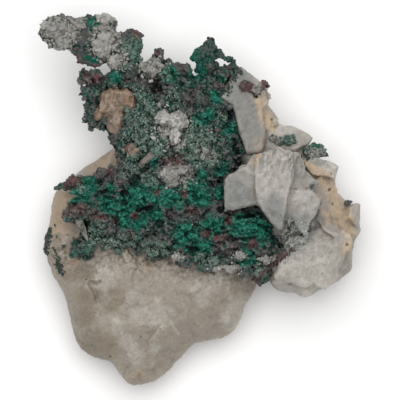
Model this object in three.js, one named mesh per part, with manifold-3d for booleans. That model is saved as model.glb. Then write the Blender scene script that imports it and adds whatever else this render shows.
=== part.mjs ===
// Malachite on native copper in a quartz matrix: a hand specimen lying on its back.
// Millimetres, +Z up. The origin is under the middle of the specimen, on the surface it lies on.
// Copper grew as a knobbly sheet between two quartz lumps, carries a malachite crust, and holds small
// quartz pieces. Points are [x, y] in the specimen's plan, seen from above.
import * as THREE from "three";
import { mergeVertices } from "three/addons/utils/BufferGeometryUtils.js";
import Module from "manifold-3d";

const wasm = await Module();
wasm.setup();

// Driving dimensions
const PIECE_GAP = 0.36; // between two pieces that touch
const MERGE = 1e-4; // corners closer than this are one
const SMOOTHING = { stone: 0.14, crust: 0.26 }; // how far a surface may move when its slivers are cleared
const TINY_FACE = 1e-6; // twice the area of a face too small to have a direction
const SLIVER = 0.06; // least height of a face that clearing may leave
const MOST_TURN = 1.1; // radians that a face may turn by when a corner goes
const PINCH = 0.02; // corners closer than this count as one place
const DRAW_BACK = 0.08; // of the way to its neighbours, for a corner that shares its place
const LUMP_ROUGHNESS = 0.34; // how far a lump's corners are pushed in and out, as a share of its radius
const STONE_ROUGHNESS = { share: 0.05, height: 0.8 }; // of the quartz lumps' sides
const SHEET_LOW = 13.4; // underside of the copper mass
const CROWN = { x: -4, y: 3, top: 23.6, left: 0.0088, right: 0.0045, back: 0.0068, front: 0.014 };
const VALLEY = 2.3; // from the crests of the copper down to the valleys between them
const RIPPLE = { height: 0.55, spacing: 2.7 }; // small ridges in the valleys
const RIM_DROP = { height: 2.2, width: 1.9 }; // how the copper rounds off towards its rim
const GRID = 1.25; // between two corners of a crusted surface
const GRID_JITTER = 0.3; // how far those corners stray, as a share of the grid
const ARM_HEIGHT = 17.4; // middle height of the arm and the spire
const BOSS_SINK = 0.13; // depth of a boss's middle below the face around it, as a share of its radius
const BOSS_HEIGHT = 0.32; // half the height of a boss, as a share of its radius
const BOSS_SPREAD = 1.75; // half the width of a boss, as a share of its radius
const KNOB_FINE_FROM = 1.6; // quartz knobs with a larger radius are rounder than the other lumps
const FAR = 200; // longer than the specimen, for the blocks that break a face off

// Colours, roughness and metalness of the three materials
const MALACHITE = new THREE.MeshStandardMaterial({ color: 0x1c5a48, roughness: 0.75, metalness: 0.1 });
const COPPER = new THREE.MeshStandardMaterial({ color: 0x6a4644, roughness: 0.55, metalness: 0.5 });
const QUARTZ = new THREE.MeshStandardMaterial({ color: 0xb5aca2, roughness: 0.45, metalness: 0 });
const WHITE_QUARTZ = new THREE.MeshStandardMaterial({ color: 0xc3beb8, roughness: 0.5, metalness: 0 });
const TAN_QUARTZ = new THREE.MeshStandardMaterial({ color: 0x9d8470, roughness: 0.55, metalness: 0 });

const UP = new THREE.Vector3(0, 0, 1);

// Repeatable random numbers between 0 and 1, so that every build gives the same stone
function randomFrom(seed) {
  let state = seed >>> 0;
  return () => {
    state = (state + 0x6d2b79f5) >>> 0;
    let mixed = Math.imul(state ^ (state >>> 15), 1 | state);
    mixed = (mixed + Math.imul(mixed ^ (mixed >>> 7), 61 | mixed)) ^ mixed;
    return ((mixed ^ (mixed >>> 14)) >>> 0) / 2 ** 32;
  };
}

// A geometry with positions alone, its shared corners merged
function bare(geometry) {
  const copy = geometry.clone();
  copy.deleteAttribute("normal");
  copy.deleteAttribute("uv");
  return mergeVertices(copy, MERGE);
}

function solidOf(geometry) {
  const merged = bare(geometry);
  return new wasm.Manifold(
    new wasm.Mesh({
      numProp: 3,
      vertProperties: new Float32Array(merged.attributes.position.array),
      triVerts: new Uint32Array(merged.index.array),
    }),
  );
}

const join = (solids) => solids.reduce((all, one) => all.add(one));
const cut = (solid, tools) => tools.reduce((left, tool) => left.subtract(tool), solid);

// Height of the copper's crests over a point of the plan
function crown(x, y) {
  const across = x > CROWN.x ? CROWN.right : CROWN.left;
  const slope = y > CROWN.y ? CROWN.back : CROWN.front;
  return CROWN.top - across * (x - CROWN.x) ** 2 - slope * (y - CROWN.y) ** 2;
}

// An angular lump: an icosahedron with its corners pushed in and out, turned, stretched and placed.
function lump([x, y, z], [rx, ry, rz], seed, { grow = 0, detail = 0, facing = UP } = {}) {
  const random = randomFrom(seed);
  const shape = bare(new THREE.IcosahedronGeometry(1, detail));
  const corner = shape.attributes.position;
  for (let i = 0; i < corner.count; i++) {
    const push = 1 + LUMP_ROUGHNESS * (random() - 0.5);
    corner.setXYZ(i, corner.getX(i) * push, corner.getY(i) * push, corner.getZ(i) * push);
  }
  shape.rotateX(random() * Math.PI).rotateY(random() * Math.PI).rotateZ(random() * Math.PI);
  shape.scale(rx + grow, ry + grow, rz + grow);
  shape.applyQuaternion(new THREE.Quaternion().setFromUnitVectors(UP, facing)).translate(x, y, z);
  return solidOf(shape);
}

// A closed body through rings of corners, listed from the lowest ring up, each running anticlockwise.
function stack(rings) {
  const sides = rings[0].length;
  const middle = (ring) => [0, 1, 2].map((k) => ring.reduce((sum, p) => sum + p[k], 0) / sides);
  const corners = [...rings.flat(), middle(rings[0]), middle(rings.at(-1))];
  const below = corners.length - 2;
  const above = corners.length - 1;
  const faces = [];
  for (let i = 0; i < sides; i++) {
    const next = (i + 1) % sides;
    faces.push(below, next, i);
    for (let r = 0; r + 1 < rings.length; r++) {
      const [a, b] = [r * sides + i, r * sides + next];
      faces.push(a, b, b + sides, a, b + sides, a + sides);
    }
    const last = (rings.length - 1) * sides;
    faces.push(above, last + i, last + next);
  }
  const geometry = new THREE.BufferGeometry();
  geometry.setAttribute("position", new THREE.Float32BufferAttribute(corners.flat(), 3));
  return geometry.setIndex(faces);
}

// An outline drawn in towards, or out from, a centre. A share of 1 leaves it as it is.
function around(outline, [cx, cy], share, grow = 0) {
  return outline.map(([x, y]) => {
    const reach = Math.hypot(x - cx, y - cy);
    const scale = share + grow / reach;
    return [cx + (x - cx) * scale, cy + (y - cy) * scale];
  });
}

// A boulder: one outline repeated at several heights, each as [height, share of the outline]. Only the
// widest level keeps the outline as drawn, and the lowest is flat.
function boulder(outline, centre, levels, seed, grow) {
  const random = randomFrom(seed);
  const last = levels.length - 1;
  const rings = levels.map(([z, share], level) => {
    const loose = share < 1 ? STONE_ROUGHNESS : { share: 0, height: 0 };
    const lift = level === last ? grow : 0;
    return outline.map((point) => {
      const reach = share * (1 + loose.share * (random() * 2 - 1));
      const rise = level ? loose.height * (random() * 2 - 1) : 0;
      const [[x, y]] = around([point], centre, reach, grow);
      return [x, y, z + rise + lift];
    });
  });
  return solidOf(stack(rings));
}

// Breaks a flat face on a solid: all that lies beyond the point, along the normal, is gone.
function breakFace(solid, [x, y, z], normal, grow = 0) {
  const away = new THREE.Vector3(...normal).normalize();
  const block = new THREE.BoxGeometry(FAR, FAR, FAR).translate(0, 0, FAR / 2 + grow);
  block.applyQuaternion(new THREE.Quaternion().setFromUnitVectors(UP, away));
  return solid.subtract(solidOf(block.translate(x, y, z)));
}

// Broad flat lumps sunk in the top of a solid, facing as it does there, each as [x, y, radius]
function bosses(solid, places, first, grow) {
  const { vertProperties, triVerts } = solid.getMesh();
  const geometry = new THREE.BufferGeometry();
  geometry.setAttribute("position", new THREE.Float32BufferAttribute(vertProperties, 3));
  geometry.setIndex(new THREE.BufferAttribute(triVerts, 1));
  const surface = new THREE.Mesh(geometry);
  const down = new THREE.Vector3(0, 0, -1);
  return places.map(([x, y, radius], i) => {
    const [{ point, face }] = new THREE.Raycaster(new THREE.Vector3(x, y, FAR), down).intersectObject(surface);
    const at = point.addScaledVector(face.normal, -BOSS_SINK * radius - grow).toArray();
    const size = [BOSS_SPREAD * radius, BOSS_SPREAD * radius, BOSS_HEIGHT * radius];
    return lump(at, size, first + i, { grow, facing: face.normal });
  });
}

// A plate or blade of quartz: an outline from a low height up to a tilted top, with a worn upper edge.
// top is [height at the middle, rise per mm of x, rise per mm of y].
function plate(outline, low, top, grow = 0, edge = 0.7) {
  const size = outline.length;
  const centre = [0, 1].map((k) => outline.reduce((sum, p) => sum + p[k], 0) / size);
  const height = (x, y) => top[0] + top[1] * (x - centre[0]) + top[2] * (y - centre[1]);
  const reach = Math.max(...outline.map(([x, y]) => Math.hypot(x - centre[0], y - centre[1])));
  const ring = (share, z) => around(outline, centre, share, grow).map(([x, y]) => [x, y, z(x, y)]);
  return solidOf(
    stack([
      ring(0.9, () => low - grow),
      ring(1, (x, y) => height(x, y) - edge + grow),
      ring(1 - edge / reach, (x, y) => height(x, y) + grow),
    ]),
  );
}

// A long splinter of quartz from one point to another, [x, y, z] each, thickest at its middle.
function splinter(from, to, width, grow = 0) {
  const [a, b] = [new THREE.Vector3(...from), new THREE.Vector3(...to)];
  const along = b.clone().sub(a);
  const half = along.length() / 2 + grow;
  const profile = [
    [0, -half],
    [0.55 * width + grow, -0.55 * half],
    [width + grow, 0.2 * half],
    [0.7 * width + grow, 0.8 * half],
    [0, half],
  ].map((p) => new THREE.Vector2(...p));
  const shape = new THREE.LatheGeometry(profile, 5).scale(1, 1, 0.55);
  const upright = new THREE.Vector3(0, 1, 0);
  shape.applyQuaternion(new THREE.Quaternion().setFromUnitVectors(upright, along.normalize()));
  const middle = a.add(b).multiplyScalar(0.5);
  return solidOf(shape.translate(middle.x, middle.y, middle.z));
}

// Lower quartz lump, widest about a third of the way up, with its hidden back under the copper
const LOWER_OUTLINE = [
  [-17.6, 10.6], [-21, 8.1], [-24.5, 5.5], [-27.5, 3.6], [-29.3, 0.8], [-29.8, -2.5], [-30.4, -5.8],
  [-31.2, -8], [-31.1, -10.4], [-29.9, -13.4], [-29.3, -15.3], [-26.9, -19.2], [-26.2, -22],
  [-25.4, -26], [-24.2, -30], [-22.4, -31.1], [-18.2, -32.2], [-16.7, -33.2], [-15.6, -35.2],
  [-14.6, -36.5], [-13.2, -36.9], [-9.8, -36.1], [-5.8, -33.8], [-2.2, -29.7], [-0.8, -28.5],
  [3.9, -27.2], [5.2, -27.3], [7.7, -25.3], [9, -21.3], [11.2, -18], [12.1, -16.2], [10.2, -11.5],
  [6.8, -5], [3.6, 2], [0.4, 8], [-6, 12], [-13, 12.8],
];
const LOWER_CENTRE = [-10, -13];
const LOWER_LEVELS = [[0, 0.62], [2.6, 0.84], [6.8, 1], [11, 0.95], [14.2, 0.8], [16.4, 0.5]];
const LOWER_FACES = [
  { at: [-9, -12, 15.2], normal: [0.03, 0.02, 1] },
  { at: [-15.5, -17, 15.2], normal: [-0.36, -0.1, 0.92] },
  { at: [-12, -18.5, 15.1], normal: [-0.02, -0.24, 0.96] },
  { at: [-10, -24, 14], normal: [0.05, -0.46, 0.88] },
  { at: [-4, -18.5, 15], normal: [0.24, -0.24, 0.94] },
  { at: [6.6, -20, 11.6], normal: [0.72, -0.26, 0.64] },
  { at: [-25, -6, 13.4], normal: [-0.5, 0.06, 0.86] },
  { at: [-27.4, -16, 9.8], normal: [-0.66, -0.3, 0.68] },
  { at: [-21, 5.5, 12.4], normal: [-0.42, 0.5, 0.76] },
  { at: [-23.6, -27, 8.4], normal: [-0.66, -0.46, 0.6] },
  { at: [-13, -35, 9.6], normal: [-0.1, -0.78, 0.62] },
  { at: [-1, -27, 9], normal: [0.4, -0.62, 0.66] },
];

// Low bosses that stand a little out of the broken faces, as [x, y, radius]
const LOWER_BOSSES = [
  [-20.5, -13.6, 3], [-16.4, -12.6, 2.6], [-13.2, -14.2, 2.2], [-7, -15.6, 2.8], [-2.2, -15.4, 2.4],
  [2.6, -17, 2.6], [7.8, -17.4, 2.2], [-18, -17.8, 2], [-24, -19.6, 2.6], [-21.8, -25.6, 2.8],
  [-15.4, -27.4, 2.6], [-11.6, -30.8, 2.2], [-6.4, -27.6, 2.6], [0.6, -24.4, 2.4], [4.8, -22.6, 2.2],
  [-27.6, -8.4, 2.4], [-27, -1.6, 2.2], [-19.6, 7.4, 1.8], [-9.6, -20.6, 2], [-2.6, -20.6, 1.8],
];

function quartzLower(grow = 0) {
  let stone = boulder(LOWER_OUTLINE, LOWER_CENTRE, LOWER_LEVELS, 11, grow);
  for (const { at, normal } of LOWER_FACES) stone = breakFace(stone, at, normal, grow);
  return join([stone, ...bosses(stone, LOWER_BOSSES, 600, grow)]);
}

// Right quartz lump: a body, the grey slab at its upper end, and ledges down its right edge
const RIGHT_OUTLINE = [
  [14.2, -15.6], [15, -17.2], [16.4, -18.1], [19.4, -18], [21.6, -19], [23.8, -17.6], [27.8, -15.6],
  [29.9, -13.9], [30.1, -10.3], [31, -7.7], [32.4, -5.9], [32, -4.8], [31.4, -2], [29.2, 0.2],
  [27.5, 2.1], [27.2, 4.4], [26.6, 6.2], [24.6, 8], [22.6, 9.4], [22.2, 11.6], [20.6, 13],
  [18.6, 14.2], [16.4, 14.8], [15.2, 17.2], [13.6, 21.3], [11.3, 24.4], [8.4, 26.4], [6.3, 24.4],
  [4.4, 20.7], [5, 15], [5.9, 9], [7.6, 3], [10.2, -4], [12.9, -10],
];
const RIGHT_CENTRE = [17.5, 1.5];
const RIGHT_LEVELS = [[0, 0.6], [2.6, 0.84], [8, 1], [12.4, 0.95], [15, 0.85], [17.4, 0.5]];
const RIGHT_FACES = [
  { at: [18, 2, 16.6], normal: [0.05, 0, 1] },
  { at: [21, -13.5, 15.4], normal: [0.05, -0.45, 0.9] },
  { at: [27.4, -11, 13], normal: [0.6, -0.34, 0.72] },
  { at: [28.5, -3, 13.4], normal: [0.62, 0.1, 0.78] },
  { at: [25.2, 4, 14.6], normal: [0.5, 0.3, 0.8] },
];
const RIGHT_PLATES = [
  // The grey slab, highest at its left edge
  {
    outline: [
      [4.2, 20.6], [6.5, 19.1], [7.3, 16.5], [8, 13.9], [8.9, 11], [9.6, 9.2], [12.6, 9.6], [13.4, 12.6],
      [12.9, 15.6], [12.6, 18.6], [13.5, 22.1], [11.3, 24.6], [8.3, 26.9], [6.3, 24.4], [5.2, 22.8],
    ],
    low: 11,
    top: [19.2, -0.16, 0.03],
  },
  // The ledge below it and the pale shelf at the right edge
  {
    outline: [[13.2, 10.4], [19.6, 9.9], [22.2, 11.4], [22.8, 12.6], [19.2, 14.7], [16.4, 15], [13.6, 14.2]],
    low: 9,
    top: [16.6, -0.05, -0.08],
  },
  {
    outline: [[20.6, 8.2], [20.9, 6.8], [23.2, 5.4], [27.2, 4.3], [27.5, 5.8], [28, 6.8], [26, 7.9]],
    low: 9.5,
    top: [17.6, -0.12, 0.05],
  },
  // The chipped corner that stands out at the far right
  {
    outline: [[29.6, -3.4], [31.6, -5.4], [32.1, -4.8], [32.3, -0.7], [31.2, -0.5], [29.9, -1.1]],
    low: 7,
    top: [13.4, -0.1, 0.04],
  },
  // The broad pale face at the lower right
  {
    outline: [
      [15.2, -15.2], [21.4, -17], [27.4, -14.4], [28.9, -10.4], [28.6, -6.6], [25.6, -4.6], [22, -6.2],
      [17.8, -9.8],
    ],
    low: 9,
    top: [16.9, -0.1, 0.08],
  },
];

const RIGHT_BOSSES = [
  [13.9, 16.6, 1.8], [12.8, 20.6, 1.6], [16.6, 12.8, 1.5], [25, 1.4, 2.2], [27.6, -1.4, 1.8],
  [26.2, -5, 1.8], [23.4, 6.8, 1.4], [19.4, -12.6, 2.2], [24.6, -14, 2], [17.2, -16.2, 1.6],
  [28.2, -8.2, 1.6], [22.2, -9, 1.8],
];

function quartzRight(grow = 0) {
  let stone = boulder(RIGHT_OUTLINE, RIGHT_CENTRE, RIGHT_LEVELS, 12, grow);
  for (const { at, normal } of RIGHT_FACES) stone = breakFace(stone, at, normal, grow);
  stone = join([stone, ...RIGHT_PLATES.map(({ outline, low, top }) => plate(outline, low, top, grow))]);
  return join([stone, ...bosses(stone, RIGHT_BOSSES, 640, grow)]);
}

// White blades grown together, standing over the copper at their left edge
const BLADES = [
  {
    outline: [
      [5, -2.3], [8, -1.7], [11.8, -0.8], [13, 1], [12.4, 5], [12.6, 8.6], [11, 9.3], [10.3, 8.3],
      [9.4, 7.1], [8.3, 6.9], [7.9, 6.1], [5.9, 5.2], [5, 4.3],
    ],
    top: [23.6, 0.1, 0.06],
  },
  {
    outline: [
      [11.6, -0.7], [13.1, -2.7], [14.4, -4.5], [15.9, -5.9], [16.6, -5.5], [17.4, -1.4], [18, 2.4],
      [18.8, 5.6], [18.4, 9.7], [17, 10.1], [15.6, 11], [14, 9.9], [11.4, 9.3], [11, 5.5], [11.3, 2],
    ],
    top: [25.2, 0.04, 0.05],
  },
  {
    outline: [
      [17.4, 2.2], [17.2, -0.8], [18.2, -3], [20, -6], [21.4, -7.2], [21.9, -4.7], [23.5, -2.4], [24.2, 0.4],
      [22.2, 2.3],
    ],
    top: [22.9, -0.1, 0.1],
  },
  {
    outline: [[17.6, 5], [17.6, 1.8], [22, 2.1], [24, 3.4], [21.4, 5.6], [20.6, 8.2], [19.7, 9.7], [18, 9.6]],
    top: [22.6, -0.22, 0.06],
  },
  { outline: [[16.3, -4], [18.2, -2.4], [20.1, -5.3], [18.9, -6.3], [16.7, -7.5]], top: [19.9, 0, 0.12] },
];
const BLADE_LOW = 13.5;

function quartzBlades(grow = 0) {
  return join(BLADES.map(({ outline, top }) => plate(outline, BLADE_LOW, top, grow, 0.5)));
}

// Quartz knobs, each one or more lumps grown together: [x, y, z] and [radius in x, y, z]
const KNOBS = {
  tan_quartz: [
    { at: [-17.2, 19.6, 17], size: [2.9, 3.2, 3.2] },
    { at: [-14.8, 20.2, 16.8], size: [2.6, 2.1, 2.8] },
    { at: [-16.6, 16.4, 16.4], size: [2.1, 3, 2.8] },
    { at: [-16, 13.4, 17], size: [1.4, 2.2, 2.4] },
    { at: [-19.9, 17.2, 16.2], size: [2, 1.2, 2.2] },
  ],
  quartz_upper_pocket: [
    { at: [-4.4, 15.9, 20.9], size: [2.1, 2.1, 2.2] },
    { at: [-4.8, 12.8, 21.2], size: [1.5, 2.3, 1.9] },
    { at: [-7, 16.5, 20.6], size: [1.9, 1.3, 1.7] },
  ],
  quartz_middle_pocket: [
    { at: [-5.9, 5, 21.9], size: [2.2, 1.6, 1.9] },
    { at: [-5.3, 3.6, 21.8], size: [1.3, 1.4, 1.7] },
    { at: [-3.2, 5.9, 21.7], size: [1.6, 1.1, 1.6] },
  ],
  quartz_top_knob: [
    { at: [-9, 26.5, 18.4], size: [1.9, 1.6, 1.9] },
    { at: [-10.9, 26.8, 18], size: [1.2, 1.3, 1.4] },
  ],
  quartz_front_pocket_left: [{ at: [-4, -11.3, 18.3], size: [1.5, 1.1, 1.5] }],
  quartz_front_pocket_middle: [
    { at: [6.9, -13.6, 17.3], size: [1.6, 1.1, 1.5] },
    { at: [3.6, -13.4, 17.2], size: [1, 0.9, 1.3] },
    { at: [5.3, -13.4, 16.7], size: [1.3, 0.7, 1] },
  ],
  quartz_front_pocket_right: [{ at: [8.1, -11, 19.2], size: [1.2, 1.2, 1.5] }],
  quartz_edge_pocket: [{ at: [13.1, -11.9, 17.2], size: [1.4, 0.9, 1.3] }],
  arm_quartz_tip: [
    { at: [-29.2, 34, 17.8], size: [2.4, 1.9, 2.2] },
    { at: [-27.5, 34.6, 18.3], size: [1.8, 1.5, 1.8] },
  ],
  arm_quartz_lower: [{ at: [-27.1, 31.6, 18.2], size: [1.8, 1.5, 1.9] }],
  arm_quartz_middle: [
    { at: [-19.4, 30.7, 19], size: [2.1, 2.3, 2.4] },
    { at: [-18.9, 32.2, 18.6], size: [2, 1.7, 2.2] },
  ],
  arm_quartz_top: [{ at: [-18.6, 36, 18.1], size: [1.8, 1.2, 1.7] }],
  arm_quartz_root: [{ at: [-16.2, 27.9, 19], size: [1.9, 1.4, 1.6] }],
};

function knob(name, grow = 0) {
  const first = Object.keys(KNOBS).indexOf(name) * 10 + 500;
  const solids = KNOBS[name].map(({ at, size }, i) => {
    const detail = size[0] > KNOB_FINE_FROM ? 1 : 0;
    return lump(at, size, first + i, { grow, detail });
  });
  return join(solids);
}

// Splinters of quartz caught in the copper: [x, y, z] at each end and the half width
const SPLINTERS = {
  quartz_splinter: { from: [-13.1, 6.1, 20.6], to: [-7.6, 10.3, 22.1], width: 0.95 },
  quartz_left_shard: { from: [-22, -8.5, 18.3], to: [-24.8, -2.2, 18.2], width: 0.85 },
};

function shard(name, grow = 0) {
  const { from, to, width } = SPLINTERS[name];
  return splinter(from, to, width, grow);
}

// Outline of the copper mass, anticlockwise from its left edge, without the spire and the arm
const MASS_OUTLINE = [
  [-22, 5], [-24.5, 4.3], [-26.6, 4.5], [-28.2, 4], [-28.9, 2.5], [-27.4, 1.6], [-25, 1.8], [-24.8, 0.2],
  [-25.6, -0.9], [-27, -2.3], [-26.4, -3.9], [-24.4, -4.4], [-23.8, -6.3], [-25.3, -8.6], [-24.2, -11.3],
  [-22.5, -11.9], [-20.9, -11], [-20.2, -7.9], [-18, -8], [-17, -9.5], [-13.5, -9.7], [-11.2, -9.1],
  [-10.2, -11.2], [-9.3, -12.9], [-8.2, -12], [-6.5, -11.5], [-4.6, -12.2], [-2.6, -12.9], [-0.6, -11.8],
  [0.7, -13.4], [1.4, -14.7], [2.7, -14.4], [3.5, -12.8], [5.6, -13], [7.6, -13.6], [8.3, -15.5],
  [11, -14.9], [12.3, -16.1], [14.3, -16], [14.4, -13.2], [16, -11.8], [17.9, -10.8], [16.3, -9],
  [17.4, -8], [16.3, -6.2], [14.6, -4.4], [13.4, -2.7], [11.8, -0.9], [8.5, -1.8], [5.3, -2.4],
  [5.2, 5], [8.2, 6.8], [9.2, 7.7], [8.7, 9], [9, 10], [7.7, 14], [6.9, 17.6], [6, 19.4], [4.3, 20.3],
  [4.1, 21.4], [6.3, 24.4], [7.9, 26.2], [7, 27.1], [4.6, 27.1], [3, 26.6], [1.4, 25.6], [-0.5, 25.7],
  [-1.2, 24.9], [-1.8, 26.7], [-2.4, 27.2], [-3.3, 26.6], [-4.8, 27], [-6, 28.1], [-6.9, 27.8],
  [-7.1, 30.2], [-8.1, 30.5], [-9.8, 29.5], [-10.7, 28.2], [-12, 26.2], [-17.3, 26.2], [-18.7, 25.3],
  [-22, 25.8], [-23.3, 25.2], [-24.1, 24.4], [-23.3, 23.4], [-24, 21.3], [-23, 19.9], [-22.6, 17.6],
  [-22.9, 16.3], [-22, 14.6], [-20, 14], [-17.9, 13.8], [-18, 12.7], [-17.2, 11.8], [-17.2, 10.2],
  [-16.3, 9.2], [-16.6, 7], [-19, 6],
];

// Lumps that stand out along the rim of the mass, as [x, y, z, radius]
const RIM_LUMPS = [
  [-27.6, 3, 18.4, 1.5], [-25.4, -2.8, 18.6, 1.5], [-23.4, -10, 17.6, 1.6], [-17.6, -8.2, 18.4, 1.4],
  [-13.4, -8.6, 18.8, 1.3], [-9.4, -11.2, 18.2, 1.5], [-6, -10.4, 18.8, 1.3], [-2.6, -11.6, 18.2, 1.3],
  [1.8, -13.3, 17.6, 1.4], [9.4, -14, 17.2, 1.5], [12.8, -14.8, 16.8, 1.4], [16.4, -10.6, 17.2, 1.4],
  [16, -7.8, 18.2, 1.3], [7.4, 11.4, 20.2, 1.5], [6.4, 15.6, 20, 1.5], [5, 19, 19.4, 1.3],
  [5.6, 24.6, 18.4, 1.5], [-2.6, 25.9, 18.4, 1.2], [-5.8, 26.6, 18.4, 1.4], [-8.2, 29, 18, 1.4],
  [-16.6, 25, 18.4, 1.5], [-20.4, 24.8, 18, 1.5], [-22.8, 24.2, 17.8, 1.3], [-22.9, 21.4, 17.8, 1.3],
  [-21.8, 17.2, 17.8, 1.2], [-21, 15.2, 17.6, 1.2], [-16.8, 12.6, 18.6, 1.3], [-15.8, 8, 19.4, 1.4],
  [-20.2, 4.8, 18.8, 1.4], [-24, 3.4, 18.8, 1.3],
];

// Crests of the copper: each a path in plan and the half width of its lumps
const CRESTS = [
  { path: [[-23.8, 1.8], [-20.4, 2]], width: 1.3 },
  { path: [[-25.2, -2], [-22.4, -1.2], [-19.6, -0.2]], width: 1.1 },
  { path: [[-21.6, -3.6], [-17.6, -2.8]], width: 1.2 },
  { path: [[-17, -0.6], [-16.2, 2.6]], width: 1.2 },
  { path: [[-14, -1], [-11.6, 1.8], [-9, 2.2]], width: 1.4 },
  { path: [[-14.4, -3.2], [-11, -3.2]], width: 1 },
  { path: [[-17, -6], [-13.6, -6.2], [-10.4, -5.6]], width: 1.2 },
  { path: [[-7.8, -4], [-6.4, -7]], width: 1.3 },
  { path: [[-7.6, 0.4], [-4.8, -1], [-2, -1.6]], width: 1.2 },
  { path: [[-2, 2.6], [1, 2.4]], width: 1.5 },
  { path: [[0.2, -0.8], [2.4, -0.6]], width: 1.2 },
  { path: [[-4, -4], [-1.4, -4.6], [1, -4.4]], width: 1.2 },
  { path: [[-3.6, -7.6], [-0.6, -7.8], [1.8, -8.6]], width: 1.4 },
  { path: [[3, -3.2], [4.4, -6.2], [5.2, -8.8]], width: 1.2 },
  { path: [[7.6, -5], [10.6, -5], [12.6, -6.6]], width: 1.3 },
  { path: [[8.2, -8], [11.4, -8.8], [13.4, -9.2]], width: 1.3 },
  { path: [[-13.6, 7.6], [-11.6, 12]], width: 1.2 },
  { path: [[-9.4, 11.6], [-11.4, 15.4]], width: 1.2 },
  { path: [[-10, 19.4], [-11.6, 23]], width: 1.2 },
  { path: [[-7.4, 20], [-6, 23.8]], width: 1.3 },
  { path: [[-3.6, 24], [-2.4, 21.4], [-1.8, 18.6]], width: 1.3 },
  { path: [[0, 23], [0.4, 20.4]], width: 1.5 },
  { path: [[2.8, 23.2], [3.2, 20.6]], width: 1.2 },
  { path: [[0.8, 18], [0.6, 15.2]], width: 1.4 },
  { path: [[3.6, 17.4], [4.6, 13.6], [5.2, 10.4]], width: 1.3 },
  { path: [[1.2, 12.4], [0.6, 9.2]], width: 1.4 },
  { path: [[-1.8, 11.6], [-1.6, 8.6]], width: 1.2 },
  { path: [[3.6, 8.2], [1.2, 5.8]], width: 1.3 },
  { path: [[-9, 6.4], [-11.8, 5]], width: 1.2 },
  { path: [[-15.4, 24.6], [-19, 23.8], [-22.4, 23.6]], width: 1.2 },
  { path: [[-22.4, 20.6], [-21.6, 18]], width: 1 },
  { path: [[-12, 15], [-14.6, 13.2]], width: 1 },
  { path: [[-6.4, 14], [-8.4, 9]], width: 1.2 },
];
// Pits that stay dark in the copper, as [x, y, radius]
const PITS = [
  [-9.4, 23.8, 1.1],
  [-7.5, 21.4, 0.8],
  [-12.9, 3.9, 1.0],
  [-14.9, 0.7, 0.7],
  [-7.9, -5.2, 0.8],
  [9.6, -2.1, 0.9],
];

// Distance from a point of the plan to a line through points, closed or open
function distanceTo(points, x, y, closed) {
  let least = Infinity;
  for (let i = closed ? 0 : 1; i < points.length; i++) {
    const [ax, ay] = points.at(i - 1);
    const [bx, by] = points[i];
    const [dx, dy] = [bx - ax, by - ay];
    const share = THREE.MathUtils.clamp(((x - ax) * dx + (y - ay) * dy) / (dx * dx + dy * dy), 0, 1);
    least = Math.min(least, Math.hypot(x - ax - share * dx, y - ay - share * dy));
  }
  return least;
}

// Whether a point of the plan is inside an outline
function isInside(outline, x, y) {
  let inside = false;
  outline.forEach(([bx, by], i) => {
    const [ax, ay] = outline.at(i - 1);
    if (ay > y !== by > y && x < ax + ((bx - ax) * (y - ay)) / (by - ay)) inside = !inside;
  });
  return inside;
}

// A crusted body: an outline seen in plan, with a rugged top and underside. top and bottom give a height
// from x, y and the distance in from the outline.
function crusted(outline, top, bottom, seed) {
  const box = new THREE.Box2().setFromPoints(outline.map((p) => new THREE.Vector2(...p)));
  const size = box.getSize(new THREE.Vector2()).addScalar(2 * GRID);
  const middle = box.getCenter(new THREE.Vector2());
  const [nx, ny] = [Math.ceil(size.x / GRID), Math.ceil(size.y / GRID)];
  const block = bare(new THREE.BoxGeometry(size.x, size.y, 2, nx, ny, 1));
  const random = randomFrom(seed);
  const corner = block.attributes.position;
  for (let i = 0; i < corner.count; i++) {
    const x = corner.getX(i) + middle.x + GRID * GRID_JITTER * (2 * random() - 1);
    const y = corner.getY(i) + middle.y + GRID * GRID_JITTER * (2 * random() - 1);
    const depth = isInside(outline, x, y) ? distanceTo(outline, x, y, true) : 0;
    corner.setXYZ(i, x, y, (corner.getZ(i) > 0 ? top : bottom)(x, y, depth));
  }
  const shape = new THREE.Shape(outline.map((p) => new THREE.Vector2(...p)));
  const wall = new THREE.ExtrudeGeometry(shape, { depth: FAR, bevelEnabled: false });
  return solidOf(block).intersect(solidOf(wall));
}

// Small ridges: level in the lower band, and running down to the right above it
function ripple(x, y) {
  const upper = THREE.MathUtils.smoothstep(y, 4, 9);
  const across = THREE.MathUtils.lerp(0.15 * x + y, 0.95 * x + 0.3 * y, upper);
  const along = THREE.MathUtils.lerp(x, y, upper);
  return RIPPLE.height * Math.cos((2 * Math.PI * across) / RIPPLE.spacing + 1.4 * Math.sin(0.6 * along));
}

// A dome that is 1 at its middle and 0 at its rim
const dome = (distance, radius) => Math.max(0, 1 - (distance / radius) ** 2);

const rimDrop = (depth) => RIM_DROP.height * Math.max(0, 1 - depth / RIM_DROP.width) ** 2;

function massTop(x, y, depth) {
  const crests = CRESTS.map(({ path, width }) => dome(distanceTo(path, x, y, false), 1.5 * width));
  const pits = PITS.map(([px, py, r]) => dome(Math.hypot(x - px, y - py), 1.3 * r));
  const rise = VALLEY * Math.max(...crests) + ripple(x, y) * (1 - 0.6 * Math.max(...crests));
  return crown(x, y) - VALLEY + rise - 3.4 * Math.max(...pits) - rimDrop(depth);
}

const massBottom = (x, y, depth) => SHEET_LOW + 0.8 * rimDrop(depth);

const massLump = ([x, y, z, r], i) => lump([x, y, z], [r, r, 1.5 * r], 100 + i);

function copperMass() {
  return join([crusted(MASS_OUTLINE, massTop, massBottom, 21), ...RIM_LUMPS.map(massLump)]);
}

// Half the thickness of a branch, from the distance in from its outline
const branchHalf = (depth) => Math.min(2.5, 0.8 + 0.95 * depth);

function branchTop(x, y, depth) {
  return ARM_HEIGHT + branchHalf(depth) + ripple(x, y);
}

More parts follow.
